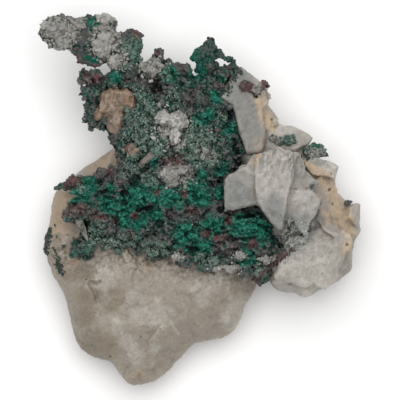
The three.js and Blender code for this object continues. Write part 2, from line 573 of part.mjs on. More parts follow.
function branchBottom(x, y, depth) {
  return ARM_HEIGHT - 0.9 * branchHalf(depth) + 0.4 * ripple(y, x);
}

// Spire and arm, each with a few lumps standing out of it
const SPIRE_OUTLINE = [
  [-0.6, 25.2], [2.6, 25.4], [3, 27], [2.8, 28.2], [4, 28.1], [5.6, 27.8], [6.9, 28], [7.1, 28.5],
  [6.4, 28.9], [5.2, 28.8], [4.8, 29.7], [3.8, 30.3], [3.3, 31.2], [2.8, 32.3], [2, 32.4], [1, 31.5],
  [0, 30.7], [-1.2, 30.3], [-1.7, 28.5], [-1, 27.4],
];
const SPIRE = [[0.2, 28.4, 18.6, 1.3], [1.9, 30.8, 18.2, 1.2], [1.2, 27, 18.2, 1.3], [3.4, 29.4, 17.8, 1]];
const ARM_OUTLINE = [
  [-12.2, 25], [-11.4, 26.6], [-11.2, 28.4], [-11.9, 29.2], [-11.7, 30.3], [-11.2, 31], [-11.3, 32.2], [-10.9, 33],
  [-12, 33.7], [-13.7, 34.5], [-15, 33.6], [-16.2, 33.8], [-17.2, 33.4], [-16.4, 34.7], [-16.5, 35.8],
  [-17.6, 36.6], [-20.4, 37], [-22.7, 36.9], [-24.2, 36.3], [-25.6, 36.8], [-28.6, 37.1], [-30.7, 36.1],
  [-32, 33.9], [-32.1, 32.7], [-31.5, 32], [-30.1, 31.5], [-30, 30.8], [-28, 30.3], [-25.8, 30],
  [-24.9, 29.2], [-24.3, 27.6], [-22.4, 26.9], [-21, 26.4], [-19.8, 26.6], [-18.5, 27.7], [-17.6, 26.6],
  [-17, 25], [-14.6, 24.2],
];
const ARM = [
  [-13.2, 29.6, 18.6, 1.8], [-15.4, 31, 18.4, 1.8], [-12.8, 32.6, 18.4, 1.4], [-17, 29.6, 17.8, 1.5],
  [-21.6, 28.6, 17.4, 1.7], [-23.9, 29.4, 17.2, 1.4], [-22.2, 32, 18.6, 1.9], [-24.6, 33, 18.2, 1.9],
  [-22.6, 35, 17.6, 1.5], [-26.2, 35.4, 17.4, 1.4], [-30.6, 33.6, 16.8, 1.4], [-30, 35, 16.8, 1.1],
];
const branch = (outline, lumps, seed) =>
  join([crusted(outline, branchTop, branchBottom, seed), chain(lumps, 10 * seed)]);

// Smaller crusted pieces on the quartz, each a chain of lumps as [x, y, z, radius]
const NUBS = {
  copper_upper_knob: [
    [8.9, 23, 19.9, 1.5], [10.3, 22.4, 19.5, 1.4], [11.4, 21.6, 19.1, 1.3], [12.3, 22.9, 18.8, 1.4],
    [13.1, 23.3, 18, 1.2],
  ],
  malachite_ledge_patch: [
    [14.9, 12.4, 17.3, 1.1], [16.3, 11.9, 17.2, 1.2], [17.7, 12, 17.2, 1.4], [18.6, 12.2, 16.9, 1.1],
  ],
  malachite_ledge_knob: [
    [21.6, 10, 16.4, 1.2], [22.9, 10.7, 16.2, 1.2], [24.1, 10, 15.8, 1.3], [25, 9.3, 15.2, 0.9],
    [23.4, 9.3, 16.2, 1.1],
  ],
  malachite_right_nub: [[29.9, -0.3, 13.3, 0.8], [30.7, -0.5, 13.2, 0.6]],
  malachite_seam: [
    [18.6, -8.4, 18, 1.1], [19.8, -7.7, 18, 1.1], [21, -7.8, 17.8, 1],
  ],
};

function chain(lumps, first, grow = 0) {
  return join(lumps.map(([x, y, z, r], i) => lump([x, y, z], [r, r, r], first + i, { grow })));
}

// The faces of the largest body alone, without the crumbs that a cut leaves. A face is three corner numbers.
function largestBody(faces, cornerCount) {
  const root = Array.from({ length: cornerCount }, (_, i) => i);
  const find = (i) => {
    while (root[i] !== i) i = root[i] = root[root[i]];
    return i;
  };
  for (const [a, b, c] of faces) {
    root[find(b)] = find(a);
    root[find(c)] = find(a);
  }
  const bodies = Map.groupBy(faces, ([a]) => find(a));
  return [...bodies.values()].reduce((best, body) => (body.length > best.length ? body : best));
}

// Squared distance of a point from each plane, added up. A plane is a unit normal and its distance.
const planeError = (planes, point) => planes.reduce((sum, p) => sum + p.distanceToPoint(point) ** 2, 0);

// Draws the corners that hardly shape the surface into a neighbour, as long as it moves by less than the
// tolerance and no face turns over. This clears the slivers that joins leave.
function settle(corners, faces, tolerance) {
  const around = corners.map(() => new Set());
  faces.forEach((face, i) => face.forEach((corner) => around[corner].add(i)));
  const normalOf = (a, b, c) => b.clone().sub(a).cross(c.clone().sub(a));
  const planes = corners.map(() => []);
  for (const face of faces) {
    const normal = normalOf(...face.map((corner) => corners[corner]));
    if (normal.length() < TINY_FACE) continue;
    const plane = new THREE.Plane().setFromNormalAndCoplanarPoint(normal.normalize(), corners[face[0]]);
    face.forEach((corner) => planes[corner].push(plane));
  }
  const neighbours = (corner) => {
    const found = new Set();
    for (const i of around[corner]) faces[i].forEach((other) => found.add(other));
    found.delete(corner);
    return found;
  };
  const turnsOver = (gone, kept) =>
    [...around[gone]].some((i) => {
      if (faces[i].includes(kept)) return false;
      const before = normalOf(...faces[i].map((c) => corners[c]));
      const moved = faces[i].map((c) => corners[c === gone ? kept : c]);
      const after = normalOf(...moved);
      const longest = Math.max(...moved.map((p, k) => p.distanceTo(moved[(k + 1) % 3])));
      if (after.length() < SLIVER * longest) return true;
      return before.length() > TINY_FACE && before.angleTo(after) > MOST_TURN;
    });
  for (let changed = true; changed; ) {
    changed = false;
    for (let gone = 0; gone < corners.length; gone++) {
      if (!around[gone].size) continue;
      const near = neighbours(gone);
      const ranked = [...near]
        .map((kept) => [planeError(planes[gone], corners[kept]), kept])
        .filter(([error]) => error < tolerance ** 2)
        .sort((a, b) => a[0] - b[0]);
      const choice = ranked.find(([, kept]) => {
        const shared = [...neighbours(kept)].filter((other) => near.has(other));
        return shared.length === 2 && !turnsOver(gone, kept);
      });
      if (!choice) continue;
      const kept = choice[1];
      for (const i of around[gone]) {
        if (faces[i].includes(kept)) {
          faces[i].forEach((corner) => corner !== gone && around[corner].delete(i));
          faces[i] = [];
        } else {
          faces[i] = faces[i].map((corner) => (corner === gone ? kept : corner));
          around[kept].add(i);
        }
      }
      around[gone].clear();
      planes[kept] = [...new Set([...planes[kept], ...planes[gone]])];
      changed = true;
    }
  }
  // Two corners left in one place would pinch the surface, so each draws back towards its own neighbours
  const places = Map.groupBy(
    corners.map((_, i) => i).filter((i) => around[i].size),
    (i) => corners[i].toArray().map((v) => Math.round(v / PINCH)).join(),
  );
  for (const pinched of [...places.values()].filter((group) => group.length > 1)) {
    for (const i of pinched) {
      const near = [...neighbours(i)].map((k) => corners[k]);
      const middle = near.reduce((sum, p) => sum.add(p), new THREE.Vector3()).divideScalar(near.length);
      corners[i] = corners[i].clone().lerp(middle, DRAW_BACK);
    }
  }
  return faces.filter((face) => face.length);
}

// A solid of the joins and cuts as a named mesh
function mesh(name, solid, material, tolerance = SMOOTHING.stone) {
  const { vertProperties, triVerts } = solid.getMesh();
  const corners = [];
  for (let i = 0; i < vertProperties.length; i += 3) {
    corners.push(new THREE.Vector3().fromArray(vertProperties, i));
  }
  const all = [];
  for (let i = 0; i < triVerts.length; i += 3) all.push([...triVerts.slice(i, i + 3)]);
  const faces = settle(corners, largestBody(all, corners.length), tolerance);
  const positions = faces.flatMap((face) => face.flatMap((corner) => corners[corner].toArray()));
  const geometry = new THREE.BufferGeometry();
  geometry.setAttribute("position", new THREE.Float32BufferAttribute(positions, 3));
  const made = new THREE.Mesh(mergeVertices(geometry, MERGE), material);
  made.geometry.computeVertexNormals();
  made.name = name;
  return made;
}

// Assembly: the quartz lumps stay whole, and each other piece is cut clear of those that it meets
const lowerRoom = quartzLower(PIECE_GAP);
const rightRoom = quartzRight(PIECE_GAP);
const bladeRoom = quartzBlades(PIECE_GAP);
const knobNames = Object.keys(KNOBS);
const shardNames = Object.keys(SPLINTERS);
const knobRoom = knobNames.map((name) => knob(name, PIECE_GAP));
const shardRoom = shardNames.map((name) => shard(name, PIECE_GAP));

// Room around a branch where it stands on the mass: the branch moved by the gap in six directions
function roomAround(solid) {
  const moves = [[1, 0, 0], [-1, 0, 0], [0, 1, 0], [0, -1, 0], [0, 0, 1], [0, 0, -1]];
  return join(moves.map((move) => solid.translate(move.map((share) => share * PIECE_GAP))));
}
const spire = cut(branch(SPIRE_OUTLINE, SPIRE, 31), [rightRoom]);
const arm = cut(branch(ARM_OUTLINE, ARM, 32), knobRoom);
const quartzRoom = [lowerRoom, rightRoom, bladeRoom];
const nubRoom = Object.values(NUBS).map((lumps, i) => chain(lumps, 700 + 10 * i, PIECE_GAP));

const specimen = new THREE.Group();
specimen.add(
  mesh("quartz_lower", quartzLower(), QUARTZ),
  mesh("quartz_right", quartzRight(), WHITE_QUARTZ),
  mesh("quartz_blades", cut(quartzBlades(), [rightRoom]), WHITE_QUARTZ),
  mesh(
    "copper_mass",
    cut(copperMass(), [
      ...quartzRoom,
      ...knobRoom,
      ...shardRoom,
      ...nubRoom,
      roomAround(spire),
      roomAround(arm),
    ]),
    MALACHITE,
    SMOOTHING.crust,
  ),
  mesh("copper_spire", spire, MALACHITE, SMOOTHING.crust),
  mesh("copper_arm", arm, MALACHITE, SMOOTHING.crust),
);
for (const name of knobNames) {
  const material = name === "tan_quartz" ? TAN_QUARTZ : WHITE_QUARTZ;
  specimen.add(mesh(name, cut(knob(name), [lowerRoom]), material));
}
for (const name of shardNames) specimen.add(mesh(name, cut(shard(name), [lowerRoom]), QUARTZ));
Object.entries(NUBS).forEach(([name, lumps], i) => {
  const material = name.startsWith("copper") ? COPPER : MALACHITE;
  specimen.add(mesh(name, cut(chain(lumps, 700 + 10 * i), [lowerRoom, rightRoom, bladeRoom]), material));
});

// Middle of the plan over the origin
const box = new THREE.Box3().setFromObject(specimen);
const middle = box.getCenter(new THREE.Vector3());
specimen.position.set(-middle.x, -middle.y, 0);

export default specimen;
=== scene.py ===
"""A hand specimen of malachite on native copper, held by quartz: the looks, built round its solids.

Every solid is copied, given a fine skin, roughened the way its mineral grows or breaks, and marked
with the places where its colour changes. Grains of the crust are scattered over it at the end.
"""

import math

import bpy
import numpy as np
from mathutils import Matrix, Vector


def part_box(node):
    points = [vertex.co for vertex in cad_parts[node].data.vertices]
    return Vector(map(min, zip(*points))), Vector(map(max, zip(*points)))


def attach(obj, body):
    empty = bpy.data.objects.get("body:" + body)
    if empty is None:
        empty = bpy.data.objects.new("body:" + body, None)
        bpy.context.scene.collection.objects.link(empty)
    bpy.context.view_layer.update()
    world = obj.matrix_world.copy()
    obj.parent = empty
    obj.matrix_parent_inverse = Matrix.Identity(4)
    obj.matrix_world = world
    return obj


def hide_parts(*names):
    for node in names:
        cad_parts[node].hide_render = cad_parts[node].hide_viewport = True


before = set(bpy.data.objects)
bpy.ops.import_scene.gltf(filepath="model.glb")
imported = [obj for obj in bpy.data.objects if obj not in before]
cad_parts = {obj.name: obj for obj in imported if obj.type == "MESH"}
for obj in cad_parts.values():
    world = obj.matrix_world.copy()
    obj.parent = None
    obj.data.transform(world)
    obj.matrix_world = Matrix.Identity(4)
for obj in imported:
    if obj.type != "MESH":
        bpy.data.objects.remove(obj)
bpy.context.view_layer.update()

bl_info = {
    "name": "Malachite on copper specimen",
    "version": (1, 0, 0),
    "blender": (4, 5, 0),
    "location": "View3D > Sidebar > Specimen",
    "description": "Builds the crust, the quartz and the grains of a small mineral specimen",
    "category": "Object",
}

MM = 0.001
MIDDLE = (-0.15, -0.20)  # mm, the point that all the places below are measured from

# Places on the specimen seen from above, in mm from the middle: x, y, radius, and for a long place
# its length and the angle it runs at. A crack, and a painted shadow along a groove, is a line of
# points.
CRUST = {
    "vivid": [
        (-23.5, 1, 2.2, 4, -15), (-22, 3, 1.8), (-18, -1, 2.2), (-14.5, -1, 2.4), (-12, 1, 2.4),
        (-15, -4, 1.6), (-12, -4, 2), (-8, 1, 2.2), (-5, 0.8, 2), (-2.8, 3.2, 1.8), (0, 1, 2.6),
        (-2.5, -7, 2.6), (2.5, -5.5, 2.4), (8, -4.8, 2.2), (11.5, -6, 3.2), (9.5, -11.5, 1.8),
        (4.6, 6, 1.4), (0.4, 15.9, 1.3, 4, 20), (2.1, 17.5, 1), (6.3, 14.4, 1.4), (0, 25.6, 1.6),
        (-1.4, 29, 1, 4, 80), (-6, 25.2, 1.8), (-16.6, 24.8, 1.2), (-21.6, 28.2, 0.6, 3, -15),
        (-21.2, 35.4, 0.7, 3, 0), (0.5, 5.2, 1.1), (0.6, -9.2, 1.4, 4, -10), (4.6, 1.5, 1.7),
        (-9.6, 8.2, 1.4), (-17.6, 2.4, 0.9), (-24.4, -0.2, 1.2), (3.4, 20.6, 1.3), (4.4, 24.2, 0.7),
        (-8.3, -2.6, 1.4), (-19.5, 8.6, 1.2),
    ],
    "red": [
        (-25, -2, 1.4, 6, 8), (-20, -3.5, 1.3, 5, -8), (-12.8, -3, 0.9, 2, 0), (-17, -4.4, 1),
        (-14.1, -7, 1.1), (-25.3, 3.8, 1.3, 4, 20), (-18, 5.5, 1.3), (-5, 7.6, 1.7, 5.6, 0),
        (-3, 1.3, 0.9), (-8.3, 1.6, 0.8), (-21.2, 24.4, 1.3, 5, 0), (-24, 26.9, 0.8, 3, -10),
        (10.8, -8.5, 1.2), (1.5, -6.5, 1.1), (4, -7.6, 0.8, 3, -12), (14, -13, 1.4, 5, 25),
        (17.6, -10.8, 1), (6, -4, 1), (-1, -2, 1, 3, -20), (-12.6, 33.4, 1.5),
        (-24.6, 28.4, 0.6, 3, -35), (-20.4, 26.8, 0.6, 3, -10), (9.7, 22.6, 2.2, 6, -20),
        (12.8, 23.5, 2.2), (-8, 29, 1.2), (15.6, -12, 1.4, 6, 30),
    ],
    "dull": [
        (-17, 5.8, 2.4, 9, -20), (-24, 3.6, 1.8, 5, 15), (4.5, -1, 2.2, 9, 12),
        (7, -0.5, 1.6, 6, 10), (-8, -7.6, 1.2, 5, 0), (-16, -7, 1.5, 6, 0), (5, -10.2, 0.9, 5, -14),
        (10, -9.6, 1.3, 6, -10), (-1.5, 20.6, 1.2, 4, 60), (-8, 23, 1.8, 7, -10),
        (-1, -4, 1.6, 6, -15), (6.2, -7.6, 1.6, 6, -20), (-11.5, 23.6, 1.6, 4, 0),
        (1.5, 12.5, 1.4, 5, 60), (-4, 27.2, 1.2, 5, -10), (-23, 32.8, 2.4), (-26, 35.8, 1.6, 5, 0),
        (-15.6, 32.8, 1.8), (-18, 28.4, 1.6, 4, 0), (-24, 29, 1.4, 5, -20), (-23, 32.6, 1.6, 5, 20),
        (-14.6, 30.6, 1.2, 4, 70), (4.2, 23.6, 1.2, 5, 60), (6.6, 20.6, 1, 5, 75),
        (-5.4, -3, 1, 5, -15), (1.8, 2.6, 0.9, 5, 10), (8, 5.4, 1, 5, 100), (0.2, 22.5, 0.8),
        (-1.9, 18.2, 1.5), (1.4, 19.7, 1.2), (2, 26.2, 1.2), (-4.2, 26.3, 1.6, 4, -10),
        (-13.2, 24.9, 1.4, 4, 0), (29.8, -0.6, 1.4),
    ],
    "frost": [
        (-12.2, 13, 2.6), (-11, 18, 2.4), (-8.6, 10.8, 2), (-1, 12, 2.6), (-2.6, 14.6, 2.2),
        (1.6, 10, 1.8), (-14.2, 17.8, 1.8), (-13.6, 9.4, 1.4), (-20.6, -5.6, 1.8),
        (-16, -8.4, 2, 6, 0), (-9, -9.5, 1.6, 6, 0), (-21, -8.5, 1.8), (2.6, -12.2, 1.4, 7, -10),
        (12, -14, 1.4), (-12, 21.4, 1.4), (-5.4, 21, 1.4), (-15.5, 27, 1.6), (-13.5, 30, 2.6),
        (-5.6, 12.6, 1.6), (0.6, 13.5, 1.4), (2.8, 12.2, 1.2), (-19.4, 21.5, 1), (5.6, 16.8, 1),
        (17.6, 11.8, 1.6), (23.6, 9.2, 1.8, 4, 0), (0.8, 8.8, 2, 7, -10), (-10.4, 15.4, 2),
        (-6.6, 24.8, 1.1), (-4, 19.2, 1.2), (-23.4, 2.4, 0.9), (-10, 4.2, 1.1, 4, 0),
        (-14.4, 6, 1.3, 4, 20),
    ],
    "druse": [
        (-27.8, 33.6, 3.2, 7, 0), (-24.4, 35.6, 1.4, 4, 0), (-18.6, 32.4, 2.8, 7, 100),
        (-17, 29.2, 1.2), (19.8, -6.9, 2, 6, 25), (23.2, 9.2, 1.2, 4, 0), (-9.6, 25.6, 1.4),
        (-6.4, 14.4, 1.9), (-4.2, 11.4, 1.3), (-4.8, 5.2, 1.9, 6, -20), (-1.9, 5.8, 1.2),
        (1.4, 9.2, 1.1, 4, -15), (15.2, 12, 1), (-7.6, 19.4, 0.7), (11.7, 22.6, 0.8, 2.6, 70),
    ],
    # pits and gaps, pressed into the crust and blackened with the hole colour as painted shade
    "hole": [
        (-8.3, 22.8, 1.3), (-12.8, 4.2, 0.8, 2, 20), (-14.9, 0.6, 0.6, 3, 90), (-7.9, -4.8, 0.7),
        (-4.9, -10.8, 0.5), (-17.5, 10.2, 0.8), (-9.6, 7, 0.3, 5, 33), (6.2, 17.5, 0.6, 6, 80),
        (7.6, 9.6, 0.6, 6, 100), (-2.2, 9.6, 0.5), (-19.6, 1.4, 0.5, 3, 20), (3.2, 3.6, 0.5, 3, 20),
        (-22.5, -4.9, 0.8), (0.6, 24.4, 0.5), (-3.4, 23.2, 0.5), (6.4, -1.4, 0.5, 5, 15),
        (-1.2, -9.6, 0.4, 3, -15), (10.5, -3, 0.28, 6, 8), (12.6, -5, 0.26, 6, -20),
        (14.8, -7.4, 0.28, 5, -50), (9, -7.6, 0.24, 5, 5), (-18.4, 0.8, 0.3, 4, -20),
        (-10.6, -1.6, 0.3, 4, 15), (0.4, -5.2, 0.25, 4, -25), (5, -6.4, 0.25, 4, 10),
    ],
}
BODY_SWELLS = [(6.2, 26.4, 1.6, 5, -8), (4.6, 21.4, 1.2), (4.4, -13.8, 1.2, 4, -10)]
PRESSED = [(-10.4, 7.9, 0.9, 7, 33), (15.6, -14, 1.6, 6, 65)]  # the crust makes room for quartz
HELD_BACK = [  # other stones show, so the crust stays low
    (-17, 18.4, 2.8), (-16.4, 13, 1.2), (-5.5, 14, 1.8), (-4, 5, 1.8), (-10.2, 8, 1.5, 7, 33),
]
RED_RIM = [(12.2, -14.9, 0.5, 4, 40), (15.4, -12.4, 0.5, 5, 38), (18.2, -10.1, 0.5, 2, 20)]

LOWER = {
    "stain": [
        (-28, -3, 2.6, 10, 80), (-19.5, 8, 2.6, 6, 30), (-12, -35, 0.9), (-17.9, -31.3, 0.8),
        (-24, -9, 1.6, 5, 60), (-25.2, -12.4, 1.3, 3, -20), (-10.6, -12.6, 1.1),
        (-26.4, 0.6, 1, 5, 10), (-12.1, -35.2, 0.7),
    ],
    "white": [
        (-19, -15, 1.7, 5, -30), (-16.6, -24.6, 1.3, 4, 100), (1, -18.2, 1.8), (3.4, -16.2, 1),
        (-13.4, -29.6, 1.3, 6, -65), (-10, -22.5, 2, 7, 0), (7.4, -22, 2, 6, 60),
        (-14, -19.4, 1.4, 4, 20), (-6.4, -23.2, 0.18, 9, -57), (-14.9, -28.2, 0.3, 7, -70),
        (-8.6, -29.6, 1), (-26.2, -0.6, 1), (-27.8, -8, 0.9, 4, 75),
    ],
    "moss": [
        (-30.4, -8.8, 0.7, 5, 82), (-28, -13, 0.8, 4, 108), (-30, -6.4, 0.4, 2, 60),
        (-28.6, -10.6, 0.25, 3, 120), (-28.4, -7.2, 0.35), (-27, -9.2, 0.35, 1.5, 60),
        (-26.4, -6.8, 0.3), (-28.8, -5, 0.3), (-23.4, -7.6, 0.9, 5, 70), (-5.8, -12.4, 0.5),
    ],
    "speck": [
        (-7.8, -25.6, 0.22), (-11.6, -27.3, 0.25), (-1.8, -22, 0.22), (-11, -25.1, 0.2),
        (-17, -30, 0.2), (4.6, -20.4, 0.2), (-21.4, -29, 0.22), (-3.2, -17.8, 0.16),
        (-13.2, -22.6, 0.18), (-8.4, -31, 0.16), (-22.6, -15.8, 0.3), (-17.8, -31.2, 0.3),
        (-6.2, -20.4, 0.14), (-20.8, -22.4, 0.18),
    ],
    "grey": [
        (-22.4, -19.2, 1.8, 5, -10), (-22.6, -23, 1.6, 5, 70), (-20.4, -28.8, 2.8, 8, -10),
        (-17.9, -31.4, 0.6), (-12, -35.2, 0.6), (-24, -14.6, 1.3, 7, 10),
        (-9.4, -12.6, 0.7, 4, -10), (-28.6, -8.8, 0.8, 5, 80), (-26.2, -9.4, 0.9, 3, 60),
        (-27.5, -13, 1.2), (-16.6, -20.4, 1.2, 5, 40), (-16.4, -18.4, 0.8, 4, 0),
    ],
}
LOWER_CRACKS = [[(-21.8, -16.3), (-20.7, -16.7), (-20, -16.3)]]
LOWER_SWELLS = [(8.6, -26.6, 3, 6, 60), (-4.2, -34.4, 2.6, 8, 30)]
LOWER_EDGE = [(-9.5, -35.6, 2.2, 7, 12), (4.4, -27.4, 2.2, 7, 12)]

RIGHT = {
    "stain": [
        (12.2, 19.5, 1.3, 5, 100), (13.4, 16.4, 1.6, 4, 110), (11.5, 12, 1.2), (14.5, 14.6, 1.2),
        (21, 7, 1.2, 3, -20), (24, 5.4, 1.3, 6, -40), (26.4, 1.8, 1.7, 8, -62),
        (28.4, -3, 1.9, 6, -60), (25, -3.4, 1.6), (30, -6, 1.3, 4, -60), (29.6, -9.4, 0.9, 3, 80),
        (23.5, 0.6, 1),
    ],
    # milky places; the ones at (22, -17.6) and (17, 13.6) are painted light that lightens a side
    # face and a ledge the lamp leaves dim
    "white": [
        (23, -12, 3.5), (25.5, 6, 2.4), (17, 9, 2.5), (20, -14, 3), (22, -17.6, 2.4, 10, 8),
        (17, 13.6, 1.8, 5, 0),
    ],
    "moss": [
        (18, 11.8, 1.1), (15.4, 12, 0.6, 3, -10), (7.2, 25.2, 1.15, 4, 50), (5.8, 22.4, 0.8, 3, 75),
        (11.5, 21, 0.6), (22.4, 9.2, 1, 4, 15), (17.8, -8.6, 0.4, 5, 25),
        (20.4, -6.8, 0.3, 3, 50),
    ],
    "speck": [
        (10.9, 17.9, 0.22), (14.5, 16.2, 0.35), (26.1, 2.2, 0.4), (26.7, -0.7, 0.3),
        (29.6, -8.8, 0.4), (22.6, 2.8, 0.6), (7.1, 24.2, 0.4), (26.4, 5.4, 0.25), (11.4, 20.8, 0.5),
    ],
    "grey": [
        (8.6, 17, 2.8, 13, 108), (8.4, 23.4, 2.6, 5, 110), (17.6, -8.6, 1.4, 6, 20),
        (22.6, -5, 1.6, 6, 55), (23.8, 8, 0.9, 3, -10),
    ],
    # the first line is painted shadow along the groove between the blades and the right quartz; the
    # others are dark cracks
    "crack": [
        [(24.3, -0.5), (23.4, -2.6), (22, -4), (21.5, -6.5)],
        [(16.6, -8.8), (18.2, -8.4), (19, -7.4), (21, -7.6)],
    ],
}
RIGHT_SWELLS = [
    (17, -14.6, 1.8, 6, 60), (22, -18.4, 2.6, 10, 8), (30, -11, 2, 8, 80), (28, -16, 2, 5, 40),
]
SLAB_EDGE = [(14.6, 21.2, 1.5, 4, 90)]

BLADES = {
    "stain": [(11.4, 8.2, 0.5, 3, 60)],
    "white": [(13, 4.5, 3.6), (19, 1, 2.5), (15.6, 7.6, 3)],
    "moss": [(17.6, -6.4, 0.6, 4, 60), (20.8, -7, 0.4, 3, 30)],
    "speck": [(22.4, 2.8, 0.7), (23.8, -2, 0.4)],
    "grey": [(7.6, 0.4, 3, 8, 90), (15.4, -2.6, 2, 7, 100), (19.4, -4.6, 1.8, 5, 60)],
    "crack": [
        [(17.8, 2.4), (20, 2.2), (22.2, 2.6)], [(16.2, -2.6), (16.8, -4.4), (18.4, -6.2)],
        [(21.8, -3.6), (20.6, -6.6)],
    ],
}
KNOTS = {
    "stain": [(-5, 7.3, 1.5, 5, -10)],
    "white": [(-6.4, 15, 2.4), (-3.8, 12.4, 2, 5, 80)],
    "moss": [
        (-7.6, 4.6, 0.8), (-2.2, 6, 0.8), (-8.2, 16, 0.7), (-3.6, 3.4, 0.6), (-26.2, 34.8, 1),
        (-24.6, 32.6, 1.2), (-20.8, 29.4, 0.7), (-17, 34.4, 0.7), (-31.2, 33, 1.4, 4, 80),
        (-15, 28.1, 1.5), (-15.9, 30.6, 1.5), (-10.8, 26.6, 0.6), (-9.4, 28.6, 1.4, 4, 0),
        (-8.4, 26.6, 0.9), (-27, 36, 1.2, 7, 0), (-29.2, 31, 1.2, 4, -25), (-17.2, 34.9, 1),
    ],
    "grey": [
        (-4.6, 4.4, 3), (6, -13.6, 6, 20, -10), (-29.4, 33, 1.6, 6, 60), (-27, 35, 1, 4, 0),
        (-24.4, 33.6, 1.8), (-19.4, 31.2, 1), (-26, 31, 1, 4, -20), (-17.6, 34.2, 0.8, 3, 0),
        (-15.4, 28, 1.2), (-20.4, 33.4, 0.7, 3, 60), (-9.4, 24.4, 0.9, 4, 0), (-9.2, 27.8, 1.5),
    ],
}
TAN = {
    "stain": [(-18.6, 18, 0.4, 3, 60), (-14, 20.2, 1)],
    "white": [(-17.6, 18.6, 1.6), (-17, 15.6, 1)],
}
TAN_SWELLS = [(-13.6, 19, 1.5), (-20.4, 16.6, 1.4)]
SPLINTERS = {"moss": [(-23, -5, 0.9, 6, 70), (-9.6, 7.6, 0.35, 5, 33)]}

NOTCH = [(-1.9, 5.8, 1.2)]  # small crystals fill it
PLAIN_KNOT = [(-4.6, 4.4, 4)]  # fewer crystals on it
SEAM_CHIPS = [(18.7, -7.5, 2.3, 7.4, 34)]
TAN_CHIPS = (-13.9, 9.8, 1.5, 0.9)  # middle and half size of an oval, from the frame's middle
FLANK_TOP = 9  # mm up; the crust holds few grains below it
ARM_START = 26  # mm back; the arm lies behind it

# The nodes of the quartz knots and of the crusted copper, and the pieces that replace them
POCKETS = {"quartz_" + name: name for name in (
    "upper_pocket", "middle_pocket", "top_knob", "front_pocket_left", "front_pocket_middle",
    "front_pocket_right", "edge_pocket")}
POCKETS.update({"arm_quartz_" + part: "arm_%s_crystals" % part for part in (
    "tip", "lower", "middle", "top", "root")})
CRUSTED = {
    "copper_mass": "copper_body", "copper_spire": "spire", "copper_arm": "arm",
    "copper_upper_knob": "upper_knob", "malachite_ledge_patch": "ledge_patch",
    "malachite_ledge_knob": "ledge_knob", "malachite_right_nub": "right_nub",
    "malachite_seam": "seam",
}
KNOB_SIZES = {
    "spire": 0.8, "arm": 0.65, "upper_knob": 0.7, "ledge_patch": 0.5, "ledge_knob": 0.7,
    "right_nub": 0.7, "seam": 0.5,
}
KNOB_SKIN = 0.17 * MM
CRYSTAL_SKIN = 0.16 * MM
SPLINTER_SKIN = 0.13 * MM
BODY_FACES = 94000  # four-sided faces that the copper body keeps

CREASED = {"weight_1": -1, "weight_2": 1}  # cells with a sharp crease between them
MARKS = ("vivid", "red", "dull", "frost", "hole", "hollow", "deep", "druse")
RIM_MARKS = (0, 0.75, 0.4, 0.3, 0, 0.45, 0.45, 0)
UP, AREA, FIRST_MARK = 5, 6, 7  # columns of a table of triangles; middles come before them


# --- sizes and colours


def amount(name, value, description, **more):
    """A number in the sidebar that isn't below nothing."""
    return bpy.props.FloatProperty(
        name=name, description=description, default=value, min=0.0, **more)


def length(name, millimetres, description):
    """A length in the sidebar, kept in metres and shown in the scene's unit."""
    return amount(
        name, millimetres * MM, description, precision=5, subtype="DISTANCE", unit="LENGTH")


def number(name, value, description):
    """How many of something, in the sidebar."""
    return bpy.props.IntProperty(
        name=name, description=description, default=value, min=0, max=9900)


def colour(name, value, description):
    """A colour in the sidebar."""
    return bpy.props.FloatVectorProperty(
        name=name, description=description, default=value, size=3, min=0.0, max=1.0,
        subtype="COLOR")


class QuartzLook(bpy.types.PropertyGroup):
    """How the quartz breaks and what colours it has."""

    skin: length("Skin", 0.3, "Size of the small faces that the big quartz lumps are built of")
    fine_skin: length("Fine skin", 0.2, "Size of the small faces of the blades and the tan quartz")
    swell: length("Swell", 0.55, "Depth of the slow swells on a broken face")
    chips: length("Chips", 0.42, "Depth of the shell-shaped chips")
    sugar: length("Sugar", 0.13, "Depth of the sugary grain")
    grey: colour("Grey", (0.288, 0.250, 0.206), "The clear grey body")
    milk: colour("Milk", (0.368, 0.337, 0.293), "The milky white of bruised and grained places")
    warm: colour("Warm", (0.36, 0.275, 0.195), "The beige of the weathered shoulders")
    rust: colour("Rust", (0.45, 0.345, 0.235), "Iron stain on the right rim")
    # olive is also the colour of the painted shade laid into the hollows
    olive: colour("Olive", (0.20, 0.165, 0.115), "Brown and olive stain in the hollows")
    tan: colour("Tan", (0.225, 0.16, 0.115), "The pinkish tan quartz beside the copper")


class CrustLook(bpy.types.PropertyGroup):
    """How the malachite crust grows over the copper."""

    skin: length("Skin", 0.22, "Size of the small faces of the crust")
    gaps: length("Gaps", 1.5, "Depth of the narrow gaps between the ridges")
    ridges: length("Ridges", 1.5, "Height of the swells along the ridges")
    twist: length("Twist", 0.45, "How crooked the ridges are")
    knobs: length("Knobs", 0.17, "Height of the round knobs on the ridges")
    nibs: length("Nibs", 0.42, "Height of the smallest nibs")
    holes: length("Holes", 1.1, "Depth of the black holes between the ridges")
    green: colour("Green", (0.001, 0.078, 0.052), "The vivid velvet malachite")
    # also laid on the vivid crests as a painted highlight
    bright: colour("Bright", (0.012, 0.175, 0.115), "The light green of thin malachite")
    deep: colour("Deep", (0.006, 0.028, 0.022), "Dark malachite in the hollows")
    dull: colour("Dull", (0.083, 0.075, 0.077), "The grey brown of tarnished copper")
    red: colour("Red", (0.120, 0.042, 0.040), "Copper with a red oxide skin")
    frost: colour("Frost", (0.146, 0.217, 0.174), "Tiny pale crystals over the crust")
    druse: colour("Druse", (0.255, 0.250, 0.225), "Sugary grey quartz that hides the crust")
    # the colour of the painted shade in the holes, the hollows and the gaps of the frost
    hole: colour("Hole", (0.003, 0.006, 0.005), "The dark between the ridges")


class GrainLook(bpy.types.PropertyGroup):
    """The loose-looking grains that sit on the crust."""

    nib_count: number("Crust nibs", 6000, "How many nibs of crust")
    frost_count: number("Pale grains", 3000, "How many pale quartz grains")
    size: length("Size", 0.125, "Middle radius of a grain")


